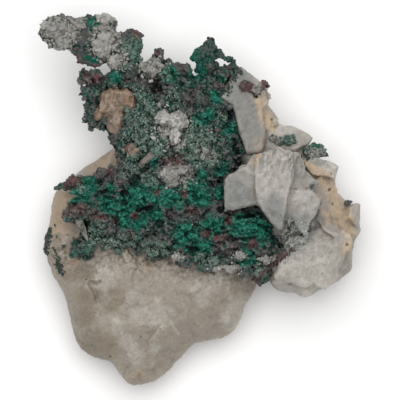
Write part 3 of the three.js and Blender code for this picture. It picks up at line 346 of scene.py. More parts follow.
class StageLook(bpy.types.PropertyGroup):
    """The floor, the soft light and the camera."""

    view_width: length("View width", 80, "Width of what the camera sees at the crust's height")
    camera_height: length("Camera height", 2500, "How far above the crust the camera stands")
    lamp_power: amount("Lamp power", 3.5, "Power of the soft lamp overhead", unit="POWER")
    sky: amount("Sky", 0.49, "Strength of the even light from all sides", max=5.0)


# --- modelling helpers


def held(values):
    """The values, held between 0 and 1."""
    return np.clip(values, 0, 1)


def pick(piece):
    """Selects this piece and nothing else."""
    bpy.ops.object.select_all(action="DESELECT")
    piece.select_set(True)
    bpy.context.view_layer.objects.active = piece


def modify(piece, kind, **settings):
    """Adds one modifier and applies it."""
    pick(piece)
    modifier = piece.modifiers.new(kind.title(), kind)
    for key, value in settings.items():
        setattr(modifier, key, value)
    bpy.ops.object.modifier_apply(modifier=modifier.name)


def reskin(piece, skin, soften):
    """Cuts the surface into an even fine skin and softens it."""
    modify(piece, "REMESH", mode="VOXEL", voxel_size=skin)
    if soften:
        modify(piece, "SMOOTH", factor=0.5, iterations=soften)


def take_copy(node, name, skin, soften):
    """A copy of a solid with its loose triangles merged and a new skin."""
    piece = bpy.data.objects.new(name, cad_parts[node].data.copy())
    bpy.context.scene.collection.objects.link(piece)
    piece.data.materials.clear()
    pick(piece)
    bpy.ops.object.mode_set(mode="EDIT")
    bpy.ops.mesh.select_all(action="SELECT")
    bpy.ops.mesh.remove_doubles(threshold=1e-6)
    bpy.ops.object.mode_set(mode="OBJECT")
    reskin(piece, skin, soften)
    return piece


def pattern(kind, size, **settings):
    """A solid noise for roughening; size is the width of its features in mm."""
    texture = bpy.data.textures.new(kind.lower(), kind)
    texture.noise_scale = size * MM
    for key, value in settings.items():
        setattr(texture, key, value)
    return texture


def mark(piece, name, weights):
    """Keeps one weight per point as a vertex group, in sixteen steps."""
    group = piece.vertex_groups.new(name=name)
    steps = np.round(held(weights) * 16).astype(int)
    for step in range(1, 17):
        group.add(np.nonzero(steps == step)[0].tolist(), step / 16, "REPLACE")
    return group.name


def roughen(piece, kind, size, depth, middle=0.5, lay=None, where="", **details):
    """Pushes the surface in and out by a noise. lay turns and stretches it: (angle, long, high)."""
    settings = {"texture": pattern(kind, size, **details), "strength": depth,
                "mid_level": middle, "vertex_group": where}
    guide = None
    if lay:
        guide = bpy.data.objects.new("guide", None)
        bpy.context.scene.collection.objects.link(guide)
        guide.rotation_euler = (0, 0, math.radians(lay[0]))
        guide.scale = (lay[1], 1.0, lay[2])
        bpy.context.view_layer.update()
        settings.update(texture_coords="OBJECT", texture_coords_object=guide)
    modify(piece, "DISPLACE", **settings)
    if guide:
        bpy.data.objects.remove(guide)


def crumple(piece, size, depth, detail=2, where=""):
    """Shifts the surface sideways as well as up and down by a noise."""
    twist = pattern("CLOUDS", size, noise_depth=detail, cloud_type="COLOR")
    modify(piece, "DISPLACE", texture=twist, direction="RGB_TO_XYZ", strength=depth,
           mid_level=0.5, vertex_group=where)


def push(piece, depth, where=""):
    """Moves the surface out evenly, or in when depth is below 0."""
    modify(piece, "DISPLACE", strength=depth, mid_level=0.0, vertex_group=where)


def swell(piece, places, depth):
    """Lets the surface stand depth mm further out at some places."""
    push(piece, depth * MM, mark(piece, "swell", spotted(points_of(piece), places)))


def cut_cracks(piece, cracks, depth):
    """Presses the cracks depth mm into the stone."""
    lines = near_lines(points_of(piece), cracks, 0.7)
    push(piece, -depth * MM, mark(piece, "cracks", lines))


def numbers_of(piece, key):
    """Three numbers for each point of the piece."""
    flat = np.empty(len(piece.data.vertices) * 3, np.float32)
    piece.data.vertices.foreach_get(key, flat)
    return flat.reshape(-1, 3).astype(float)


def points_of(piece):
    """The piece's points in mm."""
    return numbers_of(piece, "co") / MM


def normals_of(piece):
    """The direction that each point of the piece faces."""
    return numbers_of(piece, "normal")


def keep(piece, name, values):
    """Keeps one number per point for the material to read."""
    attribute = piece.data.attributes.new(name, "FLOAT", "POINT")
    attribute.data.foreach_set("value", np.asarray(values, np.float32))


def spotted(points, spots):
    """How much each point belongs to the nearest place: 1 inside, half at its rim, 0 past it."""
    found = np.zeros(len(points))
    for x, y, radius, *long in spots:
        span, angle = long or (0, 0)
        dx, dy = points[:, 0] - x - MIDDLE[0], points[:, 1] - y - MIDDLE[1]
        turn = math.radians(angle)
        along = dx * math.cos(turn) + dy * math.sin(turn)
        across = dy * math.cos(turn) - dx * math.sin(turn)
        half = max(span / 2 - radius, 0)
        away = np.hypot(along - np.clip(along, -half, half), across)
        found = np.maximum(found, held(1 - 0.5 * away / radius))
    return found


def laid(piece, spots):
    """The places on what faces up; on steep sides they break up and fade."""
    return spotted(points_of(piece), spots) * held(normals_of(piece)[:, 2] * 2.2 + 0.55)


def near_lines(points, lines, width):
    """1 on the lines, falling to 0 at their width, seen from above."""
    found = np.zeros(len(points))
    for line in lines:
        for (ax, ay), (bx, by) in zip(line, line[1:]):
            way = np.array([bx - ax, by - ay])
            off = points[:, :2] - np.array([ax + MIDDLE[0], ay + MIDDLE[1]])
            part = held(off @ way / (way @ way))
            away = np.linalg.norm(off - part[:, None] * way, axis=1)
            found = np.maximum(found, held(1 - away / width))
    return found


def grainy_band(x, y, middle):
    """The grainy band across the lower quartz, 9 mm wide."""
    return held(1 - np.abs(y + middle + 0.1 * x) / 4.5)


def hollowness(piece, rounds, reach):
    """How far each point lies under its surroundings: 0.5 level, 1 deep in, 0 on a crest."""
    points = points_of(piece)
    edges = np.empty(len(piece.data.edges) * 2, np.int32)
    piece.data.edges.foreach_get("vertices", edges)
    a, b = edges[0::2], edges[1::2]
    count = np.maximum(np.bincount(edges, minlength=len(points)), 1)
    level = points.copy()
    for _ in range(rounds):
        for axis in range(3):
            own = level[:, axis]
            near = np.bincount(a, own[b], len(points)) + np.bincount(b, own[a], len(points))
            level[:, axis] = 0.5 * own + 0.5 * near / count
    depth = np.einsum("ij,ij->i", level - points, normals_of(piece))
    return held(0.5 + 0.5 * depth / reach)


def seat(piece):
    """Keeps the underside on the floor."""
    points = points_of(piece)
    points[:, 2] = np.maximum(points[:, 2], 0.0)
    piece.data.vertices.foreach_set("co", (points * MM).astype(np.float32).ravel())
    piece.data.update()


def hand_in(piece, finish, slot, *nodes, sharp=0):
    """Gives a finished piece its material and ties it to the frame. Crystal edges stay sharp where
    their faces meet at more than sharp degrees."""
    piece.data.materials.clear()
    piece.data.materials.append(finish)
    pick(piece)
    bpy.ops.object.shade_smooth()
    piece.vertex_groups.clear()
    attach(piece, "root")
    if nodes:
        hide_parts(*nodes)
    if sharp:
        bpy.ops.object.shade_smooth_by_angle(angle=math.radians(sharp))


# --- material helpers


class Flow:
    """One output of a material's nodes. Sums of flows and numbers become Math nodes."""

    def __init__(self, board, socket):
        self.board, self.socket = board, socket

    def _sum(self, operation, other, swap=False, clamp=False):
        terms = (other, self) if swap else (self, other)
        return self.board.add(
            "Math", {"operation": operation, "use_clamp": clamp},
            dict(enumerate(terms)))

    def __add__(self, other):
        return self._sum("ADD", other)

    def __sub__(self, other):
        return self._sum("SUBTRACT", other)

    def __rsub__(self, other):
        return self._sum("SUBTRACT", other, swap=True)

    def __mul__(self, other):
        return self._sum("MULTIPLY", other)

    __radd__ = __add__
    __rmul__ = __mul__

    def most(self, other):
        """The larger of the two."""
        return self._sum("MAXIMUM", other)

    def clamped(self):
        """Held between 0 and 1."""
        return self._sum("ADD", 0.0, clamp=True)

    def swing(self, much=1.0):
        """How far it is off its middle, times a number."""
        return (self - 0.5) * much

    def step(self, low, high):
        """Rises softly from 0 at low to 1 at high."""
        return self.board.add(
            "MapRange", {"interpolation_type": "SMOOTHSTEP"},
            {"Value": self, "From Min": low, "From Max": high})


class Board:
    """A material under construction, with its colour so far."""

    def __init__(self, name):
        self.material = bpy.data.materials.new(name)
        self.material.use_nodes = True
        self.tree = self.material.node_tree
        self.shader = self.tree.nodes["Principled BSDF"]
        self.place = self.add("TexCoord", {}, {}, "Object")
        self.tint = None

    def add(self, kind, settings, inputs, output=0):
        """Adds any node: its settings first, then its inputs, and gives one of its outputs."""
        node = self.tree.nodes.new("ShaderNode" + kind)
        for key, value in settings.items():
            setattr(node, key, value)
        for key, value in inputs.items():
            self.feed(node.inputs[key], value)
        return Flow(self, node.outputs[output])

    def feed(self, socket, value):
        """Links a flow, or sets a number or colour."""
        if isinstance(value, Flow):
            self.tree.links.new(value.socket, socket)
        elif isinstance(value, (int, float)):
            socket.default_value = value
        else:
            opaque = (1.0,) if socket.type == "RGBA" and len(value) == 3 else ()
            socket.default_value = (*value, *opaque)

    def kept(self, name):
        """A number kept on the piece's points."""
        return self.add("Attribute", {"attribute_name": name}, {}, "Fac")

    def noise(self, size, detail=3.0, rough=0.55, bend=0.0, place=None):
        """Cloudy noise about 0.5, its features as wide as size in mm."""
        return self.add(
            "TexNoise", {},
            {"Vector": place or self.place, "Scale": 1 / (size * MM), "Detail": detail,
             "Roughness": rough, "Distortion": bend})

    def cells(self, size, output="Distance"):
        """Cells as wide as size in mm: the distance to their middles, or a colour for each."""
        return self.add(
            "TexVoronoi", {}, {"Vector": self.place, "Scale": 1 / (size * MM)}, output)

    def chance(self, size):
        """One random number from 0 to 1 for each cell."""
        return self.add("SeparateColor", {}, {"Color": self.cells(size, "Color")})

    def stretched(self, angle, long):
        """The place with one direction drawn out, for streaks."""
        return self.add(
            "Mapping", {},
            {"Vector": self.place, "Rotation": (0, 0, math.radians(-angle)),
             "Scale": (1 / long, 1, 1)})

    def blend(self, low, high, share):
        """From one colour to the other."""
        return self.add("Mix", {"data_type": "RGBA"}, {0: share, 6: low, 7: high}, 2)

    def cover(self, tint, share):
        """Lays one more colour over the colour so far."""
        self.tint = self.blend(self.tint, tint, share)

    def shaded(self, light):
        """The colour so far, made lighter or darker by a number."""
        return self.add(
            "VectorMath", {"operation": "SCALE"}, {0: self.tint, "Scale": light})

    def bump(self, height, depth, strength):
        """Fine relief, depth in mm, on the shader's normal."""
        bent = self.add(
            "Bump", {},
            {"Height": height, "Distance": depth * MM, "Strength": strength}, "Normal")
        self.feed(self.shader.inputs["Normal"], bent)

    def finish(self, **inputs):
        """Sets the shader's own inputs and gives the material."""
        for key, value in inputs.items():
            self.feed(self.shader.inputs[key.replace("_", " ")], value)
        return self.material


def quartz_finish(name, look, body, milky, stain, cloud=3.4, grey=None, relief=0.22, mottled=0.9,
                  hollow_stain_and_shade=0.45):
    """Quartz: a clouded body, milky places, stain, dark cracks and specks, painted glints and a
    sugary grain, with olive stain and painted shade in the hollows. grey is the tone of its greyer
    places, how mottled they are, their limits and their share. The last argument sets how much
    olive stain and painted shade the hollows take."""
    board = Board(name)
    kept, noise, cover = board.kept, board.noise, board.cover
    hollow, deep = kept("hollow"), kept("deep")
    cloudy = noise(cloud, 4, 0.6, 0.6)
    mottle = noise(cloud / 4, 4, 0.65)
    sugar = noise(0.34, 4, 0.72)
    white = kept("white") * 0.75 + cloudy.swing(1.5) + mottle.swing(mottled) + 0.12
    board.tint = board.blend(body, milky, white.step(0.15, 0.75))
    stained = kept("stain") + mottle.swing() + cloudy.swing(0.5) + sugar.swing(0.6)
    deeper = [part * less for part, less in zip(stain, (0.80, 0.62, 0.42))]
    rusty = board.blend(stain, deeper, (mottle + sugar.swing(0.8)).step(0.46, 0.74) * 0.45)
    cover(rusty, stained.step(0.30, 0.75) * 0.8)
    if grey:
        tone, uneven, low, high, share = grey
        greyer = (kept("grey") + mottle.swing(uneven)).step(low, high)
        cover(tone, greyer * share)
    glint = (board.chance(0.24) + kept("white") * 0.10).step(0.97, 1.06)
    cover((0.62, 0.60, 0.56), glint * 0.3)
    # olive stain and painted shade: the small and broad hollows take the olive colour
    stain_and_shade = hollow.swing(1.4) + mottle.swing(0.5) + deep.swing(0.8)
    cover(look.olive, stain_and_shade.step(0.16, 0.75) * hollow_stain_and_shade)
    moss = kept("moss") * 0.8 + mottle.swing(1.8) + sugar.swing(1.6)
    cover((0.020, 0.032, 0.026), moss.step(0.50, 0.74) * 0.85)
    # dark cracks and specks, and along the groove beside the blades a painted shadow
    crack = (kept("crack") * 0.85).most(kept("speck")) + sugar.swing(1.1)
    cover((0.030, 0.027, 0.022), crack.step(0.45, 0.78) * 0.9)
    # painted shade: darker in the hollows, more so with a higher last argument; the rest is the
    # sugary grain
    light = 0.74 + sugar * 0.52 - hollow.swing(0.1 + 0.9 * hollow_stain_and_shade)
    board.bump(sugar * 0.6 + mottle * 0.8, relief, 0.75)
    return board.finish(
        Base_Color=board.shaded(light), Roughness=0.38 + sugar * 0.3, Subsurface_Weight=0.30,
        Subsurface_Radius=(1.0, 0.9, 0.8), Subsurface_Scale=0.0016)


def crust_finish(name, look):
    """Velvet green, tarnished and red copper on the crests and pale frost, with painted light: a
    light green highlight and a lighter shade on the crests, and black painted shade in the holes,
    the hollows and the gaps of the frost.
    """
    board = Board(name)
    kept, noise, cover = board.kept, board.noise, board.cover
    hollow, deep = kept("hollow"), kept("deep")
    broad = noise(4.2, 3, 0.55, 0.5)
    middle = noise(1.3, 4, 0.62, 0.4)
    fine = noise(0.42, 3, 0.6)
    dust = noise(0.2, 2, 0.5)
    streak = noise(1.5, 3, 0.6, 0.3, board.stretched(-12, 2.6))
    lot, other = board.chance(0.34), board.chance(0.55)
    jitter = middle.swing(1.1) + fine.swing() + lot.swing(0.35)
    crest = 0.5 - hollow
    tarnish = (streak + fine.swing(0.6) + crest * 0.5).step(0.42, 0.60)
    board.tint = board.blend(look.deep, look.dull, tarnish)
    leafy = middle * 0.5 + broad * 0.5 + fine.swing(0.4) + lot * 0.25 - crest * 0.15
    cover(look.green, leafy.step(0.53, 0.68) * 0.8)
    dull = (kept("dull") + jitter * 0.8 + crest * 0.5).step(0.44, 0.62)
    ruddy = (fine * 0.5 + middle * 0.6 + lot * 0.15).step(0.62, 0.80)
    brown = board.blend(look.dull, look.red, ruddy * 0.7)
    cover(brown, dull * 0.9)
    vivid = (kept("vivid") + jitter * 0.8).step(0.42, 0.56)
    # partly the malachite's grain and, on the crests, a painted highlight: the vivid green turns
    # light green there
    thin = (fine * 0.8 + middle * 0.6 + other.swing(0.3) + crest * 0.9).step(0.58, 1.02)
    cover(board.blend(look.green, look.bright, thin), vivid * 0.95)
    red = (kept("red") + jitter * 0.9).step(0.50, 0.70)
    rosy = board.blend(look.red, look.dull, (fine + lot.swing(0.5)).step(0.36, 0.62) * 0.5)
    cover(rosy, red * 0.95)
    leaves = (other * 0.7 + middle * 0.5 + broad.swing(0.8)).step(0.66, 0.88)
    cover(look.green, leaves * (1 - red * 0.85) * (1 - dull * 0.4) * 0.75)
    plum = noise(0.9, 3, 0.6, 0.4, board.stretched(-14, 2.0)) + fine.swing(0.8) + crest * 0.5
    cover(brown, plum.step(0.54, 0.66) * (0.8 - vivid * 0.72))
    frosted = (kept("frost") + jitter * 0.7).step(0.38, 0.66)
    crisp = (lot * 0.35 + fine * 0.6 + dust * 0.5 + crest * 0.25).step(0.53, 0.84)
    cover(look.green, frosted * 0.3)
    # painted shade: the hole colour darkens the frost between its crisp grains
    cover(look.hole, frosted * (1 - crisp) * 0.75)
    stray = (other + lot.swing(0.5) + fine.swing(0.5) + crest * 0.5).step(0.90, 1.10)
    cover(look.frost, (frosted * (0.04 + crisp * 0.56)).most(stray * (0.4 - vivid * 0.37)))
    sugary = (kept("druse") + jitter * 0.5).step(0.40, 0.60)
    grains = (fine * 0.5 + middle * 0.7 + lot * 0.2 + crest * 0.6).step(0.42, 0.80)
    cover(board.blend(look.dull, look.druse, grains), sugary * 0.92)
    # painted shade: the hole colour is laid into the pressed holes and into the small and broad
    # hollows
    holes = (kept("hole") + middle.swing(1.6)).step(0.62, 0.86)
    depths = (hollow.swing() + deep.swing() + fine.swing(0.3)).step(0.12, 0.72)
    cover(look.hole, holes.most(depths) * (0.88 - sugary * 0.4 - vivid * 0.3))
    # painted light: lighter on the crests, darker in the hollows; the noise terms are the grain
    light = 0.29 + fine * 0.65 + dust * 0.50 + lot * 0.16 + crest * 0.55
    board.bump(fine * 0.8 + dust * 0.4 + board.cells(0.3) * -0.6, 0.14, 0.65)
    return board.finish(
        Base_Color=board.shaded(light), Roughness=0.55 + fine * 0.35, Specular_IOR_Level=0.25)


def grain_finish(name, low, high, gloss):
    """Small grains, each with its own shade between two colours."""
    board = Board(name)
    fine = board.noise(0.2, 2)
    tint = board.blend(low, high, (board.kept("tone") + fine.swing(0.5)).clamped())
    return board.finish(Base_Color=tint, Roughness=gloss + fine * 0.3)


# --- the quartz


def break_surface(piece, look, scale, chips):
    """Slow swells, shell-shaped chips and a sugary grain on a broken quartz face."""
    roughen(piece, "CLOUDS", 6.0 * scale, look.swell * scale, noise_depth=2)
    roughen(piece, "VORONOI", 2.6 * scale, look.chips * chips * scale, 0.4)
    roughen(piece, "CLOUDS", 1.3 * scale, look.swell * 0.6 * scale, noise_depth=3)
    roughen(piece, "CLOUDS", 0.45, look.sugar, noise_depth=2)


def facet(piece, size, left, spread=1.0):
    """Breaks a surface into small crooked crystal faces, about size mm across."""
    roughen(piece, "VORONOI", 2.2 * size, size * MM, 0.3, **CREASED)
    roughen(piece, "CLOUDS", 1.8 * size, 1.1 * size * MM, noise_depth=2)
    crumple(piece, 2.2 * size, 1.5 * size * spread * MM)
    modify(piece, "DECIMATE", ratio=left)


def quartz_marks(piece, places, side=0.0, line=0.5, bare=-1):
    """Keeps on the piece what its quartz finish reads. side stains its steep faces, line is how
    wide its cracks are, and under bare mm it has no moss or grey."""
    points = points_of(piece)
    high = held(points[:, 2] - bare)
    for name in ("stain", "white", "moss", "speck", "grey"):
        values = laid(piece, places.get(name, ()))
        if name == "stain":
            values = np.maximum(values, side * held(0.7 - 1.6 * normals_of(piece)[:, 2]))
        keep(piece, name, values * high if name in ("moss", "grey") else values)
    keep(piece, "crack", near_lines(points, places.get("crack", ()), line))
    # how sunk each point is, in small and broad hollows; the quartz finish darkens by them as
    # painted shade and lays olive stain there
    keep(piece, "hollow", hollowness(piece, 6, 0.10))
    keep(piece, "deep", hollowness(piece, 36, 0.45))


class SPECIMEN_OT_lower_quartz(bpy.types.Operator):
    """Builds the big grey quartz lump at the lower left"""

    bl_idname = "specimen.lower_quartz"
    bl_label = "Lower quartz"

    def execute(self, context):
        look = context.scene.quartz_look
        piece = take_copy("quartz_lower", "lower_quartz", look.skin, soften=26)
        swell(piece, LOWER_SWELLS, 0.7)
        swell(piece, LOWER_EDGE, 1.0)
        break_surface(piece, look, 1.25, 0.3)
        points = points_of(piece)
        grainy = mark(piece, "grainy", grainy_band(points[:, 0], points[:, 1], 13.5))
        roughen(piece, "VORONOI", 0.9, -0.5 * MM, 0.35, where=grainy)
        roughen(piece, "CLOUDS", 1.6, 1.1 * MM, where=grainy, noise_depth=3)
        cut_cracks(piece, LOWER_CRACKS, 0.4)
        seat(piece)
        quartz_marks(piece, LOWER)
        finish = quartz_finish(
            "grey_quartz", look, look.grey, look.milk, look.warm, cloud=4.4,
            grey=(look.olive, 1.2, 0.3, 0.75, 0.7), mottled=0.6)
        hand_in(piece, finish, "quartz", "quartz_lower")
        return {"FINISHED"}


class SPECIMEN_OT_right_quartz(bpy.types.Operator):
    """Builds the quartz that the right side stands on, with its slab and rusty rim"""

    bl_idname = "specimen.right_quartz"
    bl_label = "Right quartz"

    def execute(self, context):
        look = context.scene.quartz_look
        piece = take_copy("quartz_right", "right_quartz", look.skin, soften=4)
        swell(piece, RIGHT_SWELLS, 0.7)
        swell(piece, SLAB_EDGE, -0.9)
        low = held((9 - points_of(piece)[:, 2]) / 6)
        flank = held(0.8 - 1.5 * np.abs(normals_of(piece)[:, 2]))
        steep = mark(piece, "steep", low * flank)
        roughen(piece, "CLOUDS", 7, 3.0 * MM, 0.68, where=steep, noise_depth=2)
        roughen(piece, "VORONOI", 4.5, 1.2 * MM, 0.6, where=steep)
        break_surface(piece, look, 0.9, 0.6)
        cut_cracks(piece, RIGHT["crack"], 0.45)
        seat(piece)
        quartz_marks(piece, RIGHT, side=0.2, line=0.35, bare=13)
        finish = quartz_finish(
            "stained_quartz", look, (0.30, 0.275, 0.245), (0.385, 0.36, 0.325), look.rust,
            grey=((0.205, 0.207, 0.193), 0.5, 0.3, 0.6, 0.85))
        hand_in(piece, finish, "white_quartz", "quartz_right")
        return {"FINISHED"}


class SPECIMEN_OT_blades(bpy.types.Operator):
    """Builds the cluster of thick white quartz blades on the right"""

    bl_idname = "specimen.blades"
    bl_label = "Quartz blades"

    def execute(self, context):
        look = context.scene.quartz_look
        piece = take_copy("quartz_blades", "blades", look.fine_skin, soften=1)
        push(piece, MM)  # the blades grow together, which fills the narrow gaps between them
        reskin(piece, look.fine_skin, 2)
        push(piece, -MM)
        crumple(piece, 1.6, 0.6 * MM)
        roughen(piece, "CLOUDS", 2.6, 0.5 * MM, noise_depth=1)
        x, y, _ = points_of(piece).T
        up = np.clip(2 * normals_of(piece)[:, 2] - 0.2, 0.12, 1)
        crown = mark(piece, "crown", up * held((y - 3.5) / 3) * held((x - 10) / 2))
        roughen(piece, "CLOUDS", 0.7, 1.1 * MM, lay=(75, 2.4, 1.0), where=crown, noise_depth=1)
        modify(piece, "DECIMATE", ratio=0.2)
        quartz_marks(piece, BLADES, line=0.3)
        finish = quartz_finish(
            "white_quartz", look, (0.265, 0.252, 0.232), (0.365, 0.34, 0.315), look.rust,
            cloud=4.2, grey=((0.172, 0.179, 0.169), 0.3, 0.15, 0.8, 0.85), relief=0.08,
            mottled=0.35, hollow_stain_and_shade=0.15)
        hand_in(piece, finish, "white_quartz", "quartz_blades", sharp=16)
        return {"FINISHED"}


class SPECIMEN_OT_pockets(bpy.types.Operator):
    """Builds the white quartz knots that sit in the crust and on the arm"""

    bl_idname = "specimen.pockets"
    bl_label = "Quartz pockets"

    def execute(self, context):
        finish = quartz_finish(
            "pocket_quartz", context.scene.quartz_look, (0.30, 0.29, 0.268),
            (0.425, 0.415, 0.39), (0.13, 0.062, 0.055), cloud=1.6,
            grey=((0.22, 0.22, 0.205), 0.8, 0.25, 0.6, 0.7), hollow_stain_and_shade=0.16)
        for node, name in POCKETS.items():
            piece = take_copy(node, name, CRYSTAL_SKIN, soften=2)
            roughen(piece, "CLOUDS", 1.2, 1.3 * MM, noise_depth=2)
            if "front" in name or "edge" in name:
                facet(piece, 0.7, left=0.08)
            else:
                facet(piece, 0.34, left=0.2, spread=1.1)
            if name.startswith("arm"):
                push(piece, 0.18 * MM)
            quartz_marks(piece, KNOTS)
            hand_in(piece, finish, "white_quartz", node, sharp=30)
        return {"FINISHED"}


class SPECIMEN_OT_tan_quartz(bpy.types.Operator):
    """Builds the pinkish tan quartz beside the copper"""

    bl_idname = "specimen.tan_quartz"
    bl_label = "Tan quartz"

    def execute(self, context):
        look = context.scene.quartz_look
        piece = take_copy("tan_quartz", "tan_lump", look.fine_skin, soften=3)
        swell(piece, TAN_SWELLS, 0.5)
        facet(piece, 0.9, left=0.3, spread=0.5)
        quartz_marks(piece, TAN)
        finish = quartz_finish(
            "tan_quartz", look, look.tan, (0.26, 0.20, 0.155), (0.15, 0.085, 0.045), cloud=3.2,
            relief=0.15, mottled=0.4)
        hand_in(piece, finish, "tan_quartz", "tan_quartz", sharp=24)
        return {"FINISHED"}


class SPECIMEN_OT_splinters(bpy.types.Operator):
    """Builds the two loose-looking quartz splinters on the crust"""

    bl_idname = "specimen.splinters"
    bl_label = "Splinters"

    def execute(self, context):
        finish = quartz_finish(
            "splinter_quartz", context.scene.quartz_look, (0.185, 0.165, 0.145),
            (0.27, 0.245, 0.215), (0.17, 0.14, 0.115), cloud=1.4)
        for node, name in (("quartz_splinter", "splinter"), ("quartz_left_shard", "left_shard")):
            piece = take_copy(node, name, SPLINTER_SKIN, soften=0)
            roughen(piece, "CLOUDS", 0.9, 0.35 * MM, noise_depth=3)
            quartz_marks(piece, SPLINTERS)
            hand_in(piece, finish, "quartz", node)
        return {"FINISHED"}


# --- the copper and its crust


def grow_crust(piece, look):
    """Crooked ridges with narrow gaps between them, knobs and nibs on them, and the dark holes."""
    swell(piece, BODY_SWELLS, 0.7)
    points = points_of(piece)
    clear = held((points[:, 2] - 1.0) / 3.0) * (1 - spotted(points, HELD_BACK))
    upper = held((points[:, 1] - 6) / 6)
    fields = {-10: mark(piece, "lower", clear * (1 - upper)),
              -58: mark(piece, "upper", clear * upper)}
    clear = mark(piece, "clear", clear)
    for angle, field in fields.items():
        roughen(piece, "VORONOI", 1.7, look.gaps, 0.7, (angle, 2.5, 1.0), field,
                noise_intensity=4.5, **CREASED)
        roughen(piece, "CLOUDS", 1.3, look.ridges, lay=(angle, 1.6, 1.2), where=field,
                noise_depth=2)
    crumple(piece, 0.9, look.twist, 1, clear)
    swell(piece, PRESSED, -0.7)
    reskin(piece, look.skin, 1)
    roughen(piece, "VORONOI", 0.62, look.knobs, noise_intensity=3, **CREASED)
    roughen(piece, "CLOUDS", 0.6, look.knobs * 3.5, noise_depth=1)
    holes = spotted(points_of(piece), CRUST["hole"]) ** 2
    push(piece, -look.holes, mark(piece, "holes", holes))
    roughen(piece, "CLOUDS", 0.36, look.nibs, noise_depth=1)
    under = np.clip(-0.1 - normals_of(piece)[:, 2], 0, 0.5) * 2 * (points_of(piece)[:, 2] < 19)
    hidden = mark(piece, "hidden", 0.13 + under)
    modify(piece, "DECIMATE", ratio=BODY_FACES / len(piece.data.polygons), vertex_group=hidden,
           vertex_group_factor=30)


def grow_knobs(piece, look, size):
    """Crowded round knobs with small nibs, for the small crusted pieces."""
    clear = mark(piece, "clear", held((points_of(piece)[:, 2] - 1.0) / 2.0))
    roughen(piece, "VORONOI", 2.6 * size, -1.3 * size * MM, 0.42, where=clear)
    roughen(piece, "CLOUDS", 1.2 * size, size * MM, where=clear, noise_depth=1)
    reskin(piece, KNOB_SKIN, 2)
    roughen(piece, "VORONOI", 0.8, -0.40 * MM, 0.4)
    roughen(piece, "CLOUDS", 0.36, 0.5 * look.nibs, noise_depth=1)


class SPECIMEN_OT_crust(bpy.types.Operator):
    """Builds the copper with its malachite crust, and the small crusted knobs on the quartz"""

    bl_idname = "specimen.crust"
    bl_label = "Crusted copper"

    def execute(self, context):
        look = context.scene.crust_look
        finish = crust_finish("malachite_crust", look)
        for node, name in CRUSTED.items():
            if name in KNOB_SIZES:
                piece = take_copy(node, name, KNOB_SKIN, soften=2)
                grow_knobs(piece, look, KNOB_SIZES[name])
            else:
                piece = take_copy(node, name, look.skin, soften=2)
                grow_crust(piece, look)
            points = points_of(piece)
            for kind, spots in CRUST.items():
                keep(piece, kind, spotted(points, spots))
            # how sunk each point is, in small and broad hollows; the crust finish lays painted
            # shade and light by them, and tarnish on the crests
            keep(piece, "hollow", hollowness(piece, 5, 0.16))
            keep(piece, "deep", hollowness(piece, 36, 0.75))
            hand_in(piece, finish, "copper" if name == "upper_knob" else "malachite_crust", node)
        return {"FINISHED"}


# --- the grains


def grain_shape():
    """The corners and faces of one grain: a small round crystal of twenty faces."""
    bpy.ops.object.select_all(action="DESELECT")
    bpy.ops.mesh.primitive_ico_sphere_add(subdivisions=1, radius=1.0)
    shape = bpy.context.object
    corners = np.array([v.co for v in shape.data.vertices], float)
    faces = np.array([f.vertices for f in shape.data.polygons], int)
    bpy.data.objects.remove(shape)
    return corners, faces


def surface(names, marks=()):
    """Middles, directions, areas and marks of all triangles of some pieces."""
    rows = []
    for name in names:
        piece = bpy.data.objects[name]
        mesh = piece.data
        mesh.calc_loop_triangles()
        corners = np.empty(len(mesh.loop_triangles) * 3, np.int32)
        mesh.loop_triangles.foreach_get("vertices", corners)
        corners = corners.reshape(-1, 3)
        points = points_of(piece)
        a, b, c = (points[corners[:, k]] for k in range(3))
        cross = np.cross(b - a, c - a)
        area = np.linalg.norm(cross, axis=1) / 2
        columns = [(a + b + c) / 3, cross / np.maximum(2 * area, 1e-9)[:, None], area]
        for kind in marks:
            values = np.empty(len(points), np.float32)
            mesh.attributes[kind].data.foreach_get("value", values)
            columns.append(values[corners].mean(1))
        rows.append(np.column_stack(columns))
    return np.concatenate(rows)


def scatter(name, table, weight, count, size, finish, slot, seed, stretch=1.5, proud=0.15):
    """Sinks count grains into the surface where the weight is high, joined as one piece."""
    chance = np.random.default_rng(seed)
    likely = table[:, AREA] * np.clip(weight, 0, None)
    rows = table[chance.choice(len(table), count, p=likely / likely.sum())]
    corners, faces = grain_shape()
    turn = chance.normal(size=(count, 4))
    w, x, y, z = (turn / np.linalg.norm(turn, axis=1)[:, None]).T
    spin = np.stack([
        1 - 2 * (y * y + z * z), 2 * (x * y - z * w), 2 * (x * z + y * w),
        2 * (x * y + z * w), 1 - 2 * (x * x + z * z), 2 * (y * z - x * w),
        2 * (x * z - y * w), 2 * (y * z + x * w), 1 - 2 * (x * x + y * y),
    ], axis=1).reshape(-1, 3, 3)
    radius = size / MM * np.exp(chance.normal(0, 0.35, count))
    shape = corners[None] * chance.uniform(0.6, 1.4, (count, len(corners), 1))
    shape = np.einsum("nij,nkj->nki", spin, shape * np.array([1, 1, stretch]))
    seats = rows[:, :3] + rows[:, 3:6] * (radius * proud)[:, None]
    points = (shape * radius[:, None, None] + seats[:, None]).reshape(-1, 3) * MM
    index = (faces[None] + (np.arange(count) * len(corners))[:, None, None]).reshape(-1, 3)
    mesh = bpy.data.meshes.new(name)
    mesh.from_pydata(points.tolist(), [], index.tolist())
    piece = bpy.data.objects.new(name, mesh)
    bpy.context.scene.collection.objects.link(piece)
    keep(piece, "tone", np.repeat(chance.random(count), len(corners)))
    for kind, values in zip(MARKS, rows[:, FIRST_MARK:].T):
        keep(piece, kind, np.repeat(values, len(corners)))
    hand_in(piece, finish, slot)
    bpy.ops.object.shade_flat()


